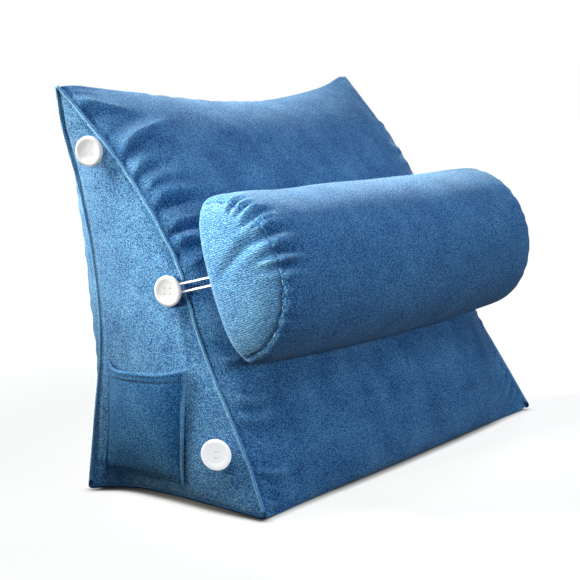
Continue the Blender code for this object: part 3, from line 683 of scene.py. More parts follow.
def resampled(path, step):
    """The closed path with evenly spaced points, eased round its corners."""
    lengths = [(path[(i + 1) % len(path)] - path[i]).length for i in range(len(path))]
    count = round(sum(lengths) / step)
    spacing = sum(lengths) / count
    even, i, passed = [], 0, 0.0
    for k in range(count):
        at = k * spacing
        while at > passed + lengths[i]:
            passed += lengths[i]
            i += 1
        even.append(path[i].lerp(path[(i + 1) % len(path)], (at - passed) / lengths[i]))
    for _ in range(3):
        even = [(even[k - 1] + even[k] * 2 + even[(k + 1) % count]) / 4 for k in range(count)]
    return even


def round_section(radius, sides):
    """The (out, aside) places round a thread."""
    return [(radius * cos(2 * pi * k / sides), radius * sin(2 * pi * k / sides)) for k in range(sides)]


def add_stitch(bm, start, end, outward, radius, look=0):
    """One visible thread stitch, dipping into the cloth at both ends."""
    shares = (0, 0.15, 0.5, 0.85, 1)
    widths = (0.45, 0.85, 1, 0.85, 0.45)
    path = [start.lerp(end, share) + outward * (radius * (1 - (2 * share - 1) ** 2)) for share in shares]
    sweep(bm, path, [outward] * len(path), lambda i: round_section(radius * widths[i], THREAD_SIDES),
          look=look)


def mottling_group():
    """Fine clouding between a dark and a light tone, for twisted yarn or moulded plastic."""
    tree, given = new_group("mottling", (
        ("Place", "NodeSocketVector", (0, 0, 0)),
        ("Scale", "NodeSocketFloat", 1500.0),
        ("Detail", "NodeSocketFloat", 2.0),
        ("Dark", "NodeSocketColor", (0, 0, 0, 1)),
        ("Light", "NodeSocketColor", (1, 1, 1, 1)),
    ), (("Colour", "NodeSocketColor"), ("Mask", "NodeSocketFloat")))
    clouds = add_node(tree, "ShaderNodeTexNoise", {"Vector": given["Place"], "Scale": given["Scale"],
                                                   "Detail": given["Detail"]}).outputs["Fac"]
    mixed = add_node(tree, "ShaderNodeMix", {0: clouds, 6: given["Dark"], 7: given["Light"]},
                     data_type="RGBA")
    add_node(tree, "NodeGroupOutput", {"Colour": mixed.outputs[2], "Mask": clouds})
    return tree


mottling = mottling_group()


def mottled(name, scale, detail, dark, light, **finish):
    """A material clouded between two tones, its node tree, its shader and the clouding's mask."""
    made, tree, shader = new_material(name)
    place = add_node(tree, "ShaderNodeTexCoord").outputs["Object"]
    tones = add_node(tree, "ShaderNodeGroup", {"Place": place, "Scale": scale, "Detail": detail, "Dark": dark,
                                               "Light": light}, node_tree=mottling).outputs
    values = {key.replace("_", " ").title(): value for key, value in finish.items()}
    feed(tree, shader, {"Base Color": tones["Colour"], **values})
    return made, tree, shader, tones["Mask"]


def sewing_thread(name, dark, light, **finish):
    return mottled(name, 1500.0, 2.0, dark, light, roughness=0.55, **finish)[0]


thread = sewing_thread("sewing_thread", (0.010, 0.036, 0.095, 1), (0.026, 0.080, 0.180, 1))
welt_cloth = chenille("chenille_welt", WELT_HIGHLIGHT_BLUES, sheen=0.18, **WELT_PATTERN)
floor_shaded_welt_cloth = chenille("chenille_welt_painted_shade", FLOOR_SHADE_BLUES, sheen=0.0, ridge_shading=0.0, **WELT_PATTERN)
stand_off = WELT_RADIUS + WELT_GAP
ups = graded(WELT_UPS, 0.3)

for side, name in ((-1, "left"), (1, "right")):
    outside = Vector((side, 0, 0))
    runs = (
        ([front_seam(side, t) for t in ups], OUT_OF_FRONT),
        ([back_seam(side, t) for t in reversed(ups)], Vector((0, 1, 0))),
        ([base_seam(side, v) for v in reversed(graded(WELT_BASE_STEPS))], Vector((0, 0, -0.4))),
    )
    line = []
    before = (outside + runs[-1][1]).normalized()
    for points, facing in runs:
        away = (outside + facing).normalized()
        line.append(points[0] + (before + away).normalized() * stand_off)
        line.extend(point + away * stand_off for point in points)
        before = away
    line = resampled(line, WELT_STEP)
    middle = sum(line, Vector()) / len(line)
    path, outward = [], []
    for i, place in enumerate(line):
        run = line[(i + 1) % len(line)] - line[i - 1]
        away = run.cross(outside).normalized()
        if away.dot(place - middle) < 0:
            away.negate()
        outward.append((outside + away).normalized())
        s = i * WELT_STEP
        stray = WELT_STRAY * noise.noise(Vector((s / 0.022, side * 5.0, 0)))
        stray += WELT_FINE_STRAY * noise.noise(Vector((s / 0.007, side * 9.0, 0)))
        path.append(place + outward[i].cross(run).normalized() * stray)

    def welt_section(i):
        uneven = noise.noise(Vector((i * WELT_STEP / 0.012, side, 4.0)))
        full = WELT_RADIUS * (1 + WELT_SWELL * uneven)
        ring = []
        for k in range(WELT_SIDES):
            angle = 2 * pi * (k + 0.5) / WELT_SIDES
            off = atan2(sin(angle), cos(angle)) / WELT_GROOVE_WIDTH
            deep = full * (1 - WELT_GROOVE * exp(-off * off))
            root = WELT_ROOT if cos(angle) < 0 else 1
            ring.append((deep * cos(angle) * root, deep * sin(angle)))
        return ring

    bm = bmesh.new()
    sweep(bm, path, outward, welt_section, cyclic=True)
    # Faces of the ridge along the floor take the painted-shade cloth.
    for strip in bm.faces:
        if strip.calc_center_median().z < PAINTED_SHADE_TOP:
            strip.material_index = 2
    needle = NEEDLE_PITCH / 2
    while needle < len(path) * WELT_STEP - NEEDLE_PITCH:
        i = int(needle / WELT_STEP)
        start = path[i]
        end = start + (path[i + 1] - start).normalized() * NEEDLE_LENGTH * draw.uniform(0.85, 1.1)
        rise = outward[i] * WELT_RADIUS * (1 - WELT_GROOVE)
        add_stitch(bm, start + rise, end + rise, outward[i], THREAD_RADIUS, 1)
        needle += NEEDLE_PITCH
    add_piece(f"raised_seam_{name}", mesh_from(bm, f"raised_seam_{name}"), (welt_cloth, thread, floor_shaded_welt_cloth),
              "chenille", f"seam_{name}")


# The pocket: one piece of the side cloth with a hem turned down and stitched along its mouth,
# sewn to the left side panel on its three other edges and left full, so that it stands open.
# Its colour is painted darker than the panel's as painted shade, and its folded front edge is painted pale as
# a painted highlight.
POCKET_REAR_TOP, POCKET_FRONT_TOP = (0.105, 0.1390), (-0.011, 0.1430)
POCKET_REAR_LOW, POCKET_FRONT_LOW = (0.1055, 0.0200), (-0.012, 0.0200)
POCKET_CLOTH, POCKET_DEPTH, POCKET_SEAT, POCKET_MOUTH_SAG = 0.0018, 0.016, 0.0010, 0.005
POCKET_WIDTH, POCKET_HEIGHT, POCKET_BREADTH, POCKET_RISE = 0.117, 0.121, 3.5, 0.8
HEM_DEPTH, HEM_THICKNESS, EDGE_STITCH_INSET = 0.0105, 0.0008, 0.0040
STITCH_GROOVE, STITCH_GROOVE_WIDTH = 0.0008, 0.0013
EDGE_ROLL, EDGE_ROLL_INSET, HIGHLIGHT_EDGE = 0.0012, 0.0016, 0.0012
POCKET_STITCH_PITCH, POCKET_STITCH_LENGTH, POCKET_THREAD_RADIUS = 0.0034, 0.0022, 0.00032
POCKET_STEPS, EDGE_ROW = 96, 0.006
# Painted shade: the pocket's blues are darker than those of the side cloth it is cut from.
POCKET_SHADE_BLUES = (0.003, 0.028, 0.115, 1), (0.018, 0.112, 0.310, 1), (0.150, 0.330, 0.540, 1)


def pocket_place(b, a, stand_off=0.0):
    """A place on the pocket's inner face: b up from its bottom edge, a forward from its rear edge."""
    low = Vector(POCKET_REAR_LOW).lerp(Vector(POCKET_FRONT_LOW), a)
    top = Vector(POCKET_REAR_TOP).lerp(Vector(POCKET_FRONT_TOP), a)
    y, z = low.lerp(top, b)
    fill = (1 - abs(2 * a - 1) ** POCKET_BREADTH) * (1 - (1 - b) ** 3) ** POCKET_RISE
    z -= POCKET_MOUTH_SAG * fill * b ** 4
    return on_side(-1, y, z) + Vector((-1, 0, 0)) * (POCKET_SEAT + POCKET_DEPTH * fill + stand_off)


def pocket_thickness(b, a):
    """The cloth's thickness: fuller in the turned-down hem, drawn thin along the needle lines."""
    from_mouth = (1 - b) * POCKET_HEIGHT
    from_side = min(a, 1 - a) * POCKET_WIDTH
    from_bottom = b * POCKET_HEIGHT
    thick = POCKET_CLOTH + HEM_THICKNESS * ease((HEM_DEPTH + 0.001 - from_mouth) / 0.002)
    for inset in (from_side, from_mouth):
        thick += EDGE_ROLL * exp(-((inset - EDGE_ROLL_INSET) / EDGE_ROLL_INSET) ** 2)
    for off in (from_mouth - HEM_DEPTH, from_side - EDGE_STITCH_INSET, from_bottom - EDGE_STITCH_INSET):
        thick -= STITCH_GROOVE * exp(-(off / STITCH_GROOVE_WIDTH) ** 2)
    place = Vector((from_mouth, a * POCKET_WIDTH, 0))
    return thick + 0.0006 * noise.noise(place / 0.03) * ease(min(from_side, from_bottom) / 0.02)


def add_rim(bm, inner_line, outer_line, away):
    """The rounded cut or folded edge between the two faces of a cloth."""
    middle = []
    for one, other in zip(inner_line, outer_line):
        middle.append(bm.verts.new((one.co + other.co) / 2 + away * (one.co - other.co).length * 0.35))
    for line, beyond in ((inner_line, middle), (middle, outer_line)):
        for k in range(len(line) - 1):
            bm.faces.new((line[k], line[k + 1], beyond[k + 1], beyond[k]))


bm = bmesh.new()
rises = sorted(set(graded(POCKET_STEPS, 0.0)) | {1 - HEM_DEPTH / POCKET_HEIGHT, EDGE_ROW, 1 - EDGE_ROW})
acrosses = sorted(set(graded(POCKET_STEPS, 0.2)) | {EDGE_ROW, 1 - EDGE_ROW})
inner = add_patch(bm, rises, acrosses, pocket_place)
outer = add_patch(bm, rises, acrosses, lambda b, a: pocket_place(b, a, pocket_thickness(b, a)))
add_rim(bm, inner[-1], outer[-1], Vector((0, 0, 1)))
add_rim(bm, inner[0], outer[0], Vector((0, 0, -1)))
add_rim(bm, [row[0] for row in inner], [row[0] for row in outer], Vector((0, 1, 0)))
add_rim(bm, [row[-1] for row in inner], [row[-1] for row in outer], Vector((0, -1, 0)))
# The faces along the pocket's front edge take the paler ridge cloth: painted highlight.
for strip in bm.faces:
    if strip.calc_center_median().y < POCKET_FRONT_TOP[0] + HIGHLIGHT_EDGE:
        strip.material_index = 1
shaded_pocket_cloth = chenille("chenille_pocket", POCKET_SHADE_BLUES, relief=0.0010, sheen=0.05, tuft_size=0.0012,
                        rib_share=0.25, rib_direction=(0, 0.55, 0.83), tuft_contrast=1.1, nap_contrast=0.35)
pocket = add_piece("pocket_panel", mesh_from(bm, "pocket_panel"), (shaded_pocket_cloth, welt_cloth), "side_cloth",
                   "pocket")


def stitch_run(bm, length, place):
    """Thread stitches along a needle line: place(s) is the line's point s metres along it."""
    s = POCKET_STITCH_PITCH
    while s < length - POCKET_STITCH_PITCH:
        end = s + POCKET_STITCH_LENGTH * draw.uniform(0.9, 1.1)
        add_stitch(bm, place(s), place(end), Vector((-1, 0, 0)), POCKET_THREAD_RADIUS)
        s += POCKET_STITCH_PITCH


def pocket_line(b, a):
    return pocket_place(b, a, pocket_thickness(b, a) + 0.0001)


bm = bmesh.new()
for b in (1 - HEM_DEPTH / POCKET_HEIGHT, EDGE_STITCH_INSET / POCKET_HEIGHT):
    stitch_run(bm, POCKET_WIDTH, lambda s: pocket_line(b, s / POCKET_WIDTH))
for a in (EDGE_STITCH_INSET / POCKET_WIDTH, 1 - EDGE_STITCH_INSET / POCKET_WIDTH):
    stitch_run(bm, POCKET_HEIGHT, lambda s: pocket_line(s / POCKET_HEIGHT, a))
pocket_stitches = add_piece("pocket_stitches", mesh_from(bm, "pocket_stitches", 1e-7), (thread,),
                            "side_cloth")


# The neck roll: a long bag of the same chenille, stuffed firm, gathered at each end into a
# flat oval end panel. Puckers run along it from both end seams, and the end that was closed
# last is drawn together with long hand stitches.
ROLL_SHOULDER = 0.024
CAP_SHARE, CAP_DOME = 0.90, 0.017
ROLL_SIDES, ROLL_STEPS, ROLL_SWELL, CAP_SWELL = 220, 130, 0.0014, 0.0012
SEAM_PINCH, SEAM_PINCH_WIDTH = 0.0011, 0.0017
ROLL_PUCKER_LIFT, FOLD_ON_PANEL = 1.5, 0.026
ROLL_PUCKER_WALLS, PUCKER_ON_SEAM, FREE_SIDE_RISE = 0.45, 0.6, 0.25
LEFT_PUCKERS = (
    {"angle": 3, "width": 2.6, "length": 0.016, "depth": 0.0016},
    {"angle": 17, "width": 3.4, "length": 0.014, "depth": 0.0010},
    {"angle": 29, "width": 2.6, "length": 0.030, "depth": 0.0030},
    {"angle": 37, "width": 2.4, "length": 0.026, "depth": 0.0030},
    {"angle": 48.5, "width": 3.0, "length": 0.042, "depth": 0.0040},
    {"angle": 66, "width": 3.6, "length": 0.058, "depth": 0.0052},
    {"angle": 81, "width": 2.8, "length": 0.052, "depth": 0.0040},
    {"angle": 92, "width": 2.8, "length": 0.054, "depth": 0.0038},
    {"angle": 104, "width": 2.4, "length": 0.020, "depth": 0.0008},
    {"angle": 113, "width": 2.2, "length": 0.020, "depth": 0.0011},
    {"angle": 127, "width": 2.2, "length": 0.022, "depth": 0.0011},
    {"angle": 139, "width": 2.6, "length": 0.020, "depth": 0.0008},
    {"angle": 155, "width": 3.0, "length": 0.018, "depth": 0.0010},
    {"angle": 172, "width": 3.0, "length": 0.018, "depth": 0.0008},
)
right_puckers = [{"angle": 13 * k + draw.uniform(-4, 4), "width": draw.uniform(2.2, 3.6),
                  "length": draw.uniform(0.014, 0.040), "depth": draw.uniform(0.0002, 0.0006)}
                 for k in range(14)]
CAP_CREASE = {"start": (-0.101, 0.288), "end": (-0.066, 0.249), "depth": 0.0025, "width": 0.0056}
ROLL_FOLD = {"start": (0.044, radians(163)), "end": (0.100, radians(145)), "depth": 0.0017, "width": 0.0022}
# The rings of the roll's end: how far each of the panel's is turned round its dome, in degrees, and
# how far in from the end seam each of the shoulder's lies.
CAP_TURNS = (3, 8, 14, 20, 27, 34, 41, 48, 54, 60, 65, 70, 74, 77.5, 80.5, 83, 85, 86.8, 88.4)
SHOULDER_INSETS = (0, 0.0004, 0.0009, 0.0015, 0.0022, 0.003, 0.004, 0.0052, 0.0066, 0.0082, 0.010, 0.012,
                   0.0142, 0.0166, 0.0192, 0.0215)
CAP_BLUES = (0.008, 0.044, 0.142, 1), (0.046, 0.166, 0.380, 1), (0.212, 0.400, 0.610, 1)


def pinched(off, walls, out, spread):
    """A crease's section: 1 deep in its middle, with low swollen walls a little way out."""
    return exp(-off * off) - walls * exp(-((off - out) / spread) ** 2)


def roll_relief(x, inset, angle):
    """The roll's outward relief: inset is metres in from the nearer end seam, negative on its panel."""
    degrees = (angle * 180 / pi + 180) % 360 - 180
    free_side = ease((sin(angle) + 0.10) / FREE_SIDE_RISE)
    pinch = mix(0.25, 1, ease((abs(degrees) - 84) / 20))
    relief = -SEAM_PINCH * pinch * exp(-(inset / SEAM_PINCH_WIDTH) ** 2)
    if inset > -FOLD_ON_PANEL:
        for row in LEFT_PUCKERS if x < ROLL_X else right_puckers:
            off = abs((degrees - row["angle"] + 180) % 360 - 180) / row["width"]
            if off < 3:
                if inset < 0:
                    along = PUCKER_ON_SEAM * ease(1 + inset / min(0.45 * row["length"], FOLD_ON_PANEL))
                else:
                    along = mix(PUCKER_ON_SEAM, 1, ease(inset / 0.005)) * ease(1 - inset / row["length"])
                section = pinched(off, ROLL_PUCKER_WALLS, 1.9, 0.5)
                relief -= ROLL_PUCKER_LIFT * row["depth"] * along * free_side * section
    if inset > 0:
        place = Vector((x, cos(angle) * 0.09, sin(angle) * 0.08))
        relief += swell(place, 21.0, ROLL_SWELL) * free_side * ease(inset / 0.02)
        (x0, a0), (x1, a1) = ROLL_FOLD["start"], ROLL_FOLD["end"]
        run = (x - x0) / (x1 - x0)
        off = abs(angle - mix(a0, a1, run)) * ROLL_HALF_HEIGHT / ROLL_FOLD["width"]
        fade = rise_and_fall(run, -0.2, 0.4, 0.5, 1.2)
        relief -= ROLL_FOLD["depth"] * pinched(off, 0.6, 1.8, 0.8) * fade
    return relief


def cap_relief(side, place):
    """How far the end panel stands out along the roll: soft unevenness, and the left one's crease."""
    relief = swell(place, 33.0 + side, CAP_SWELL)
    if side < 0:
        run, off = beside(CAP_CREASE, place)
        relief -= CAP_CREASE["depth"] * pinched(off, 0.4, 2.2, 0.9) * rise_and_fall(run, -0.4, 0.4, 0.9, 1.5)
    return relief


def shoulder_share(inset):
    """The roll's outline near its end seam, as a share of its full section."""
    return mix(CAP_SHARE, 1, sqrt(1 - (1 - inset / ROLL_SHOULDER) ** 2))


def roll_place(x, share, inset, angle):
    """A place on the roll: at x, on its outline's share, inset from the end seam, at an angle round it."""
    rise, thickness = cos(angle), ROLL_FRONT * sin(angle)
    if sin(angle) < 0:
        rise = copysign(abs(cos(angle)) ** (2 / ROLL_BACK_SQUARENESS), cos(angle))
        thickness = -ROLL_BACK * abs(sin(angle)) ** (2 / ROLL_BACK_SQUARENESS)
    out = ROLL_UP * (ROLL_HALF_HEIGHT * rise) + ROLL_FORWARD * thickness
    place = roll_middle(x) + out * share * roll_girth(x)
    along = Vector((1 if x > ROLL_X else -1, 0, 0))
    if inset < 0:
        place += along * cap_relief(along.x, place) * ease(-inset / 0.012)
        lean = 0.5 + 0.5 * ease(-inset / 0.020)
    else:
        lean = 0.5 * ease(1 - inset / 0.01)
    outward = out.normalized().lerp(along, lean).normalized()
    return place + outward * roll_relief(x, inset, angle)


half = ROLL_LENGTH / 2
reach = half - ROLL_SHOULDER
end_rows = [(-half - CAP_DOME * cos(turn), CAP_SHARE * sin(turn),
             -(1 - sin(turn)) * CAP_SHARE * ROLL_HALF_HEIGHT) for turn in map(radians, CAP_TURNS)]
end_rows += [(inset - half, shoulder_share(inset), inset) for inset in SHOULDER_INSETS]
body_rows = [(x, 1.0, half - abs(x))
             for x in (mix(-reach, reach, share) for share in graded(ROLL_STEPS, 0.55))]
far_rows = [(-x, share, inset) for x, share, inset in reversed(end_rows)]
bm = bmesh.new()
rings = []
for x, share, inset in end_rows + body_rows + far_rows:
    rings.append([bm.verts.new(roll_place(ROLL_X + x, share, inset, 2 * pi * k / ROLL_SIDES))
                  for k in range(ROLL_SIDES)])
for i, (one, other) in enumerate(zip(rings, rings[1:])):
    on_cap = i < len(CAP_TURNS) or i >= len(rings) - len(CAP_TURNS) - 1
    join_rings(bm, one, other, on_cap)


def close_ring(bm, ring, middle, look=0):
    """A fan of faces from a ring to one point in its middle."""
    hub = bm.verts.new(middle)
    for k in range(len(ring)):
        bm.faces.new((ring[k], ring[(k + 1) % len(ring)], hub)).material_index = look


for ring in (rings[0], rings[-1]):
    close_ring(bm, ring, sum((vert.co for vert in ring), Vector()) / ROLL_SIDES, 1)
roll_cloth = chenille("chenille_roll", CLOTH_BLUES, relief=0.0011, sheen=0.18, tuft_size=0.0018,
                      rib_share=0.25, rib_direction=(1, 0, 0), rib_pitch=0.0021, tuft_contrast=1.1,
                      nap_contrast=0.35)
cap_cloth = chenille("chenille_cap", CAP_BLUES, relief=0.0013, sheen=0.18, tuft_size=0.0018, rib_share=0.55,
                     rib_direction=(0, 0.35, 0.94), rib_pitch=0.0022, tuft_contrast=1.2, nap_contrast=0.4)
roll = add_piece("neck_roll", mesh_from(bm, "neck_roll"), (roll_cloth, cap_cloth), "chenille", "bolster")

CLOSING_LENGTH, CLOSING_PITCH, CLOSING_RADIUS, CLOSING_RISE = 0.0052, 0.0150, 0.00042, 0.0003
CLOSING_INSET, SEAM_PLACES, CLOSING_LAST = 0.0002, 720, 350
light_thread = sewing_thread("closing_thread", (0.12, 0.28, 0.48, 1), (0.30, 0.52, 0.74, 1))
bm = bmesh.new()
for side, first in ((-1, 180), (1, 20)):
    x = ROLL_X + side * half
    share = shoulder_share(CLOSING_INSET)
    seam = [roll_place(x - side * CLOSING_INSET, share, CLOSING_INSET, 2 * pi * k / SEAM_PLACES)
            for k in range(SEAM_PLACES)]
    run, at = 0.0, 0.004
    for k in range(first, CLOSING_LAST):
        run += (seam[k + 1] - seam[k]).length
        if run > at:
            end = k
            while (seam[end] - seam[k]).length < CLOSING_LENGTH * draw.uniform(0.8, 1.1):
                end += 1
            outward = ((seam[k] - roll_middle(x)).normalized() + Vector((side, 0, 0))).normalized()
            rise = outward * CLOSING_RISE
            add_stitch(bm, seam[k] + rise, seam[end] + rise, outward, CLOSING_RADIUS)
            at += CLOSING_PITCH * draw.uniform(0.85, 1.2)
add_piece("closing_stitches", mesh_from(bm, "closing_stitches", 1e-7), (light_thread,), "chenille")


# The buttons: six moulded white plastic ones with four holes in a dished middle, three on each
# side panel, each sewn on through its holes and standing on a shank of wound thread.
BUTTON_RADIUS, BUTTON_THICKNESS, BUTTON_RIM, BUTTON_DISH = 0.0165, 0.0045, 0.00285, 0.0012
HOLE_RADIUS, HOLE_PITCH, BAR_RADIUS, BAR_STEPS, BAR_SIDES = 0.0011, 0.0064, 0.0003, 12, 8
SHANK_RADIUS, SHANK_LENGTH, SHANK_GAP, SHANK_SUNK = 0.0025, 0.0045, 0.0007, 0.0020
BUTTON_SIDES, HOLE_SIDES, SHANK_SIDES, SHANK_STEPS = 72, 18, 28, 24
PLASTIC_TONES = (0.29, 0.30, 0.37, 1), (0.34, 0.35, 0.42, 1)
# Painted light: the glow colour of the buttons and their thread, though they are no lamps.
BUTTON_PAINTED_GLOW = (0.97, 0.97, 1.0, 1)


def button_place(side, row):
    """Where a button is sewn on, and the direction that it faces."""
    seat = on_side(side, row["y"], row["z"]) + Vector((side * SEAT_DIMPLE, 0, 0))
    return seat, Vector((side * cos(row["turn"]), -sin(row["turn"]), 0))


def spun(bm, profile, sides, look=0):
    """A solid turned about Z from a profile of (radius, height) that starts and ends on the axis."""
    rings = [[bm.verts.new((aside, forward, height)) for aside, forward in round_section(radius, sides)]
             for radius, height in profile[1:-1]]
    close_ring(bm, rings[0], (0, 0, profile[0][1]), look)
    close_ring(bm, rings[-1], (0, 0, profile[-1][1]), look)
    for one, other in zip(rings, rings[1:]):
        join_rings(bm, one, other, look)


def button_plastic(name, strength):
    """White plastic, faintly clouded and finely scuffed, glowing with some strength as painted light."""
    made, tree, shader, clouds = mottled(name, 70.0, 3.0, *PLASTIC_TONES, emission_color=BUTTON_PAINTED_GLOW,
                                         emission_strength=strength, subsurface_weight=0.15,
                                         subsurface_radius=(0.003, 0.003, 0.003), subsurface_scale=1.0)
    place = add_node(tree, "ShaderNodeTexCoord").outputs["Object"]
    scuffs = add_node(tree, "ShaderNodeTexNoise", {"Vector": place, "Scale": 900.0, "Detail": 4.0})
    rough = add_node(tree, "ShaderNodeMapRange",
                     {"Value": scuffs.outputs["Fac"], "To Min": 0.24, "To Max": 0.42})
    ripple = add_node(tree, "ShaderNodeBump", {"Height": clouds, "Strength": 0.3, "Distance": 0.0002})
    feed(tree, shader, {"Roughness": rough.outputs[0], "Normal": ripple.outputs[0]})
    return made


# The low buttons get a stronger painted glow: painted light that makes them brighter than the others.
plastic = button_plastic("button_plastic", 0.18)
painted_bright_plastic = button_plastic("button_plastic_painted_bright", 0.62)
# The button thread also glows a little: painted light.
white_thread = sewing_thread("button_thread", (0.26, 0.26, 0.29, 1), (0.34, 0.34, 0.37, 1),
                             emission_color=BUTTON_PAINTED_GLOW, emission_strength=0.18)
top = SHANK_LENGTH + BUTTON_THICKNESS
rim_middle = BUTTON_RADIUS - BUTTON_RIM
profile = [(0, top - BUTTON_DISH), (0.004, top - BUTTON_DISH), (0.0075, top - BUTTON_DISH * 0.97)]
for share in (k / 7 for k in range(1, 7)):
    profile.append((mix(0.0080, rim_middle, share), top - BUTTON_DISH * (1 - ease(share)) ** 1.1))
for angle in (pi * k / 12 for k in range(13)):
    profile.append((rim_middle + BUTTON_RIM * sin(angle) ** 0.9,
                    top - BUTTON_THICKNESS * 0.5 * (1 - cos(angle))))
profile += [(SHANK_RADIUS * 1.2, SHANK_LENGTH), (0, SHANK_LENGTH)]
bm = bmesh.new()
spun(bm, profile, BUTTON_SIDES)
blank = bpy.data.objects.new("button_blank", mesh_from(bm, "button_blank", 1e-6))
bm = bmesh.new()
for x in (-HOLE_PITCH / 2, HOLE_PITCH / 2):
    for y in (-HOLE_PITCH / 2, HOLE_PITCH / 2):
        bmesh.ops.create_cone(bm, cap_ends=True, segments=HOLE_SIDES, radius1=HOLE_RADIUS,
                              radius2=HOLE_RADIUS, depth=2.5 * BUTTON_THICKNESS,
                              matrix=Matrix.Translation((x, y, top)))
drills = bpy.data.objects.new("button_drills", mesh_from(bm, "button_drills", 1e-6))
for helper in (blank, drills):
    bpy.context.scene.collection.objects.link(helper)
holes = blank.modifiers.new("holes", "BOOLEAN")
holes.operation = "DIFFERENCE"
holes.solver = "EXACT"
holes.object = drills
drilled = bpy.data.meshes.new_from_object(blank.evaluated_get(bpy.context.evaluated_depsgraph_get()))
for helper in (blank, drills):
    bpy.data.objects.remove(helper)

bm = bmesh.new()
bm.from_mesh(drilled)
shank_top = SHANK_LENGTH + 0.0002
shank = [(0, -SHANK_SUNK)]
for k in range(SHANK_STEPS + 1):
    wound = 0.90 + 0.10 * cos(k * pi / 1.5)
    shank.append((SHANK_RADIUS * wound, mix(-SHANK_SUNK, shank_top, k / SHANK_STEPS)))
spun(bm, shank + [(0, shank_top)], SHANK_SIDES, 1)
for y in (-HOLE_PITCH / 2, HOLE_PITCH / 2):
    path = []
    for share in (k / BAR_STEPS for k in range(BAR_STEPS + 1)):
        rise = min(1, 6 * min(share, 1 - share)) ** 0.5
        path.append(Vector((mix(-HOLE_PITCH / 2, HOLE_PITCH / 2, share), y,
                            top - BUTTON_DISH - 0.0016 + 0.00165 * rise)))
    sweep(bm, path, [Vector((0, 0, 1))] * len(path), lambda i: round_section(BAR_RADIUS, BAR_SIDES), look=1)
button_mesh = mesh_from(bm, "button", 1e-7)
button_mesh.set_sharp_from_angle(angle=radians(50))
# The low buttons' own copy of the mesh, for the brighter painted-light plastic.
low_mesh = button_mesh.copy()
for mesh, look in ((button_mesh, plastic), (low_mesh, painted_bright_plastic)):
    mesh.materials.append(look)
    mesh.materials.append(white_thread)
for side, hand in ((-1, "left"), (1, "right")):
    for row in BUTTONS:
        seat, facing = button_place(side, row)
        stand_off = SHANK_GAP + SHANK_RADIUS * sin(row["turn"])
        turned = facing.to_track_quat("Z", "Y").to_matrix().to_4x4()
        add_piece(f"sewn_button_{hand}_{row['name']}", low_mesh if row["name"] == "low" else button_mesh, (),
                  "button_plastic", f"button_{hand}_{row['name']}",
                  place=Matrix.Translation(seat + facing * stand_off) @ turned)


# The elastic loops: a white braided round elastic at each end of the roll, both of its ends
# sewn in at the roll's end seam, stretched back and hooked round the middle button's shank.
ELASTIC_RADIUS, ELASTIC_SPREAD, ELASTIC_INSET, ELASTIC_RISE = 0.00125, 0.0085, 0.004, 0.005
ELASTIC_GAP, ELASTIC_SIDES, HOOK_STEPS, STRAND_STEPS = 0.0003, 16, 24, 70
BRAID_TURNS, BRAID_RELIEF = 900, 0.10

elastic, tree, shader, yarns = mottled("braided_elastic", 1400.0, 3.0, (0.62, 0.60, 0.63, 1),
                                       (0.90, 0.88, 0.90, 1), roughness=0.7, sheen_weight=0.3)
braid = add_node(tree, "ShaderNodeBump", {"Height": yarns, "Strength": 0.8, "Distance": 0.0003})
feed(tree, shader, {"Normal": braid.outputs[0]})
for side, hand in ((-1, "left"), (1, "right")):
    seat, facing = button_place(side, BUTTONS[1])
    hook = seat + facing * (SHANK_GAP + SHANK_RADIUS * sin(BUTTONS[1]["turn"]) + SHANK_LENGTH / 2)
    end_x = ROLL_X + side * (ROLL_LENGTH / 2 - ELASTIC_INSET)
    girth = shoulder_share(ELASTIC_INSET) * roll_girth(end_x)
    sewn = roll_middle(end_x) + ROLL_UP * ELASTIC_RISE - ROLL_FORWARD * (ROLL_BACK * girth + ELASTIC_RADIUS)
    apart = facing.cross(hook - sewn).normalized()
    along = apart.cross(facing)
    bend = SHANK_RADIUS + ELASTIC_RADIUS + 2 * ELASTIC_GAP
    hooked = [hook + (apart * cos(angle) + along * sin(angle)) * bend
              for angle in (pi * k / HOOK_STEPS for k in range(HOOK_STEPS + 1))]
    one_end, other_end = sewn + apart * (ELASTIC_SPREAD / 2), sewn - apart * (ELASTIC_SPREAD / 2)
    path = [one_end.lerp(hooked[0], k / STRAND_STEPS) for k in range(STRAND_STEPS)] + hooked
    path += [hooked[-1].lerp(other_end, k / STRAND_STEPS) for k in range(1, STRAND_STEPS + 1)]
    travelled = [0.0]
    for one, other in zip(path, path[1:]):
        travelled.append(travelled[-1] + (other - one).length)

    def braid_section(i):
        ring = []
        for k in range(ELASTIC_SIDES):
            angle, s = 2 * pi * k / ELASTIC_SIDES, travelled[i] * BRAID_TURNS
            crossed = sin(2 * angle + s) * sin(2 * angle - s)
            full = ELASTIC_RADIUS * (1 - BRAID_RELIEF + BRAID_RELIEF * crossed)
            ring.append((full * cos(angle), full * sin(angle)))
        return ring

    bm = bmesh.new()
    sweep(bm, path, [facing] * len(path), braid_section)
    add_piece(f"elastic_loop_{hand}", mesh_from(bm, f"elastic_loop_{hand}", 1e-7), (elastic,), "elastic",
              f"loop_{hand}")


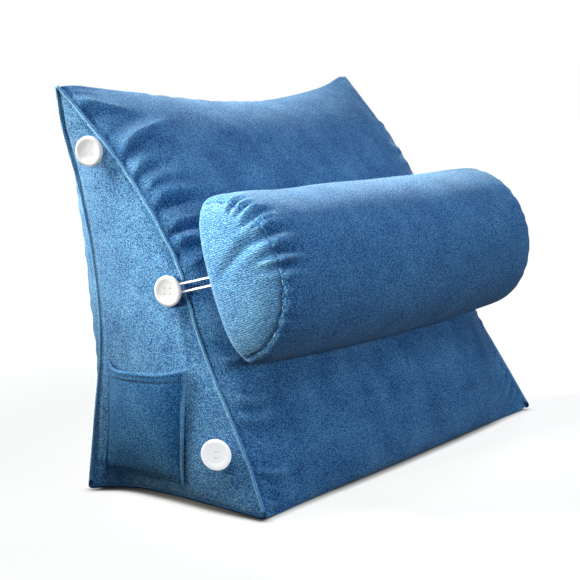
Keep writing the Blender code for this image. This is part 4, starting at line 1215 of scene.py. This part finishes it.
# The photo studio: a white paper floor that glows evenly, with a painted contact shadow only close under the
# pillow, round softboxes from the upper left, above, the front and the right, and an even pale sky.
FLOOR_RADIUS, FLOOR_SIDES = 12, 96
CONTACT_SHADE_REACH, CONTACT_SHADE_DEPTH = 0.012, 1.6
bpy.ops.mesh.primitive_circle_add(vertices=FLOOR_SIDES, radius=FLOOR_RADIUS, fill_type="NGON",
                                  location=(0, 0, 0))
floor = bpy.context.object
floor.name = "floor"
paper, tree, shader = new_material("floor_paper")
away = add_node(tree, "ShaderNodeVectorMath", {0: add_node(tree, "ShaderNodeTexCoord").outputs["Object"]},
                operation="LENGTH")
glow = add_node(tree, "ShaderNodeMapRange",
                {"Value": away.outputs["Value"], "From Min": 0.35, "From Max": 1.0, "To Min": 0.86,
                 "To Max": 1.0}, interpolation_type="SMOOTHSTEP")
# Painted contact shadow: ambient occlusion darkens the floor's glow close under the pillow.
near = add_node(tree, "ShaderNodeAmbientOcclusion", {"Distance": CONTACT_SHADE_REACH}, samples=16)
shaded = reckon(tree, "POWER", near.outputs["AO"], CONTACT_SHADE_DEPTH)
feed(tree, shader, {
    "Base Color": (0.13, 0.13, 0.13, 1),
    "Roughness": 0.9,
    "Specular IOR Level": 0.0,
    "Emission Color": (1, 1, 1, 1),
    "Emission Strength": reckon(tree, "MULTIPLY", glow.outputs[0], shaded),
})
floor.visible_diffuse = False
floor.visible_glossy = False
floor.data.materials.append(paper)

# Each softbox has a honeycomb grid that keeps its light within a spread of so many degrees: the way
# from the pillow towards it, what it is aimed at, its diameter and its power in watts.
LIGHT_DISTANCE = 2.4
WARM, NEUTRAL = (1.0, 0.94, 0.73), (0.84, 1.02, 1.09)
LIGHTS = (
    {"name": "key", "towards": (-0.36, 0.80, 0.75), "aim": (-0.06, 0.10, 0.46), "size": 0.50,
     "spread": 20, "power": 4.4, "colour": WARM},
    {"name": "side_key", "towards": (-0.36, 0.86, 0.40), "aim": (-0.27, 0.04, 0.37), "size": 0.30,
     "spread": 13, "power": 1.30, "colour": WARM},
    {"name": "window", "towards": (-0.90, 0.28, 0.30), "aim": (-0.28, -0.04, 0.31), "size": 0.35,
     "spread": 12, "power": 0.88, "colour": WARM},
    {"name": "overhead", "towards": (-0.36, 0.22, 0.90), "aim": (-0.05, 0.0, 0.34), "size": 0.5,
     "spread": 60, "power": 2.3, "colour": NEUTRAL},
    {"name": "upper_front", "towards": (0.1, -0.5, 0.85), "aim": (0.0, 0.0, 0.30), "size": 1.2,
     "spread": 120, "power": 8.6, "colour": NEUTRAL},
    {"name": "front", "towards": (-0.12, -0.98, 0.22), "aim": (0.0, -0.10, 0.30), "size": 1.2,
     "spread": 90, "power": 7.8, "colour": NEUTRAL},
    {"name": "right_fill", "towards": (0.90, 0.38, 0.25), "aim": (0.27, 0.04, 0.20), "size": 0.6,
     "spread": 26, "power": 1.6, "colour": NEUTRAL},
)
for row in LIGHTS:
    light = bpy.data.lights.new(row["name"], "AREA")
    light.shape = "DISK"
    light.size = row["size"]
    light.spread = radians(row["spread"])
    light.energy = row["power"]
    light.color = row["colour"]
    softbox = bpy.data.objects.new(row["name"], light)
    towards = Vector(row["towards"]).normalized()
    softbox.location = Vector(row["aim"]) + towards * LIGHT_DISTANCE
    softbox.rotation_euler = (-towards).to_track_quat("-Z", "Y").to_euler()
    bpy.context.scene.collection.objects.link(softbox)

SKY_STRENGTH, SKY_TOP = 0.15, 0.12
world = bpy.data.worlds.new("studio")
world.use_nodes = True
tree = world.node_tree
direction = add_node(tree, "ShaderNodeTexCoord").outputs["Generated"]
split = add_node(tree, "ShaderNodeSeparateXYZ", {"Vector": direction})
sky = ramp(tree, split.outputs["Z"], (0.0, (0.05, 0.05, 0.06, 1)), (SKY_TOP, (0.95, 0.97, 1.0, 1)))
lit = tree.nodes["Background"]
feed(tree, lit, {"Color": sky, "Strength": SKY_STRENGTH})
seen = add_node(tree, "ShaderNodeBackground", {"Color": (1, 1, 1, 1), "Strength": 1.0})
to_camera = add_node(tree, "ShaderNodeLightPath").outputs["Is Camera Ray"]
chosen = add_node(tree, "ShaderNodeMixShader", {0: to_camera, 1: lit.outputs[0], 2: seen.outputs[0]})
feed(tree, tree.nodes["World Output"], {"Surface": chosen.outputs[0]})
bpy.context.scene.world = world
bpy.context.scene.view_settings.view_transform = "Standard"

# The camera stands off the pillow's left front corner, at the height of its ridge.
CAMERA_PLACE = Vector((-1.483, -1.006, 0.447))
CAMERA_YAW, CAMERA_PITCH, CAMERA_ROLL = radians(54.49), radians(8.10), radians(-1.51)
CAMERA_LENS, CAMERA_SENSOR = 94.16, 36.0
forward = Vector((sin(CAMERA_YAW) * cos(CAMERA_PITCH), cos(CAMERA_YAW) * cos(CAMERA_PITCH),
                  -sin(CAMERA_PITCH)))
level = Vector((cos(CAMERA_YAW), -sin(CAMERA_YAW), 0))
upright = level.cross(forward)
right = level * cos(CAMERA_ROLL) + upright * sin(CAMERA_ROLL)
up = upright * cos(CAMERA_ROLL) - level * sin(CAMERA_ROLL)
lens = bpy.data.cameras.new("camera")
lens.sensor_width = CAMERA_SENSOR
lens.lens = CAMERA_LENS
camera = bpy.data.objects.new("camera", lens)
turned = Matrix((right, up, -forward)).transposed().to_4x4()
camera.matrix_world = Matrix.Translation(CAMERA_PLACE) @ turned
bpy.context.scene.collection.objects.link(camera)
bpy.context.scene.camera = camera

bpy.context.view_layer.update()
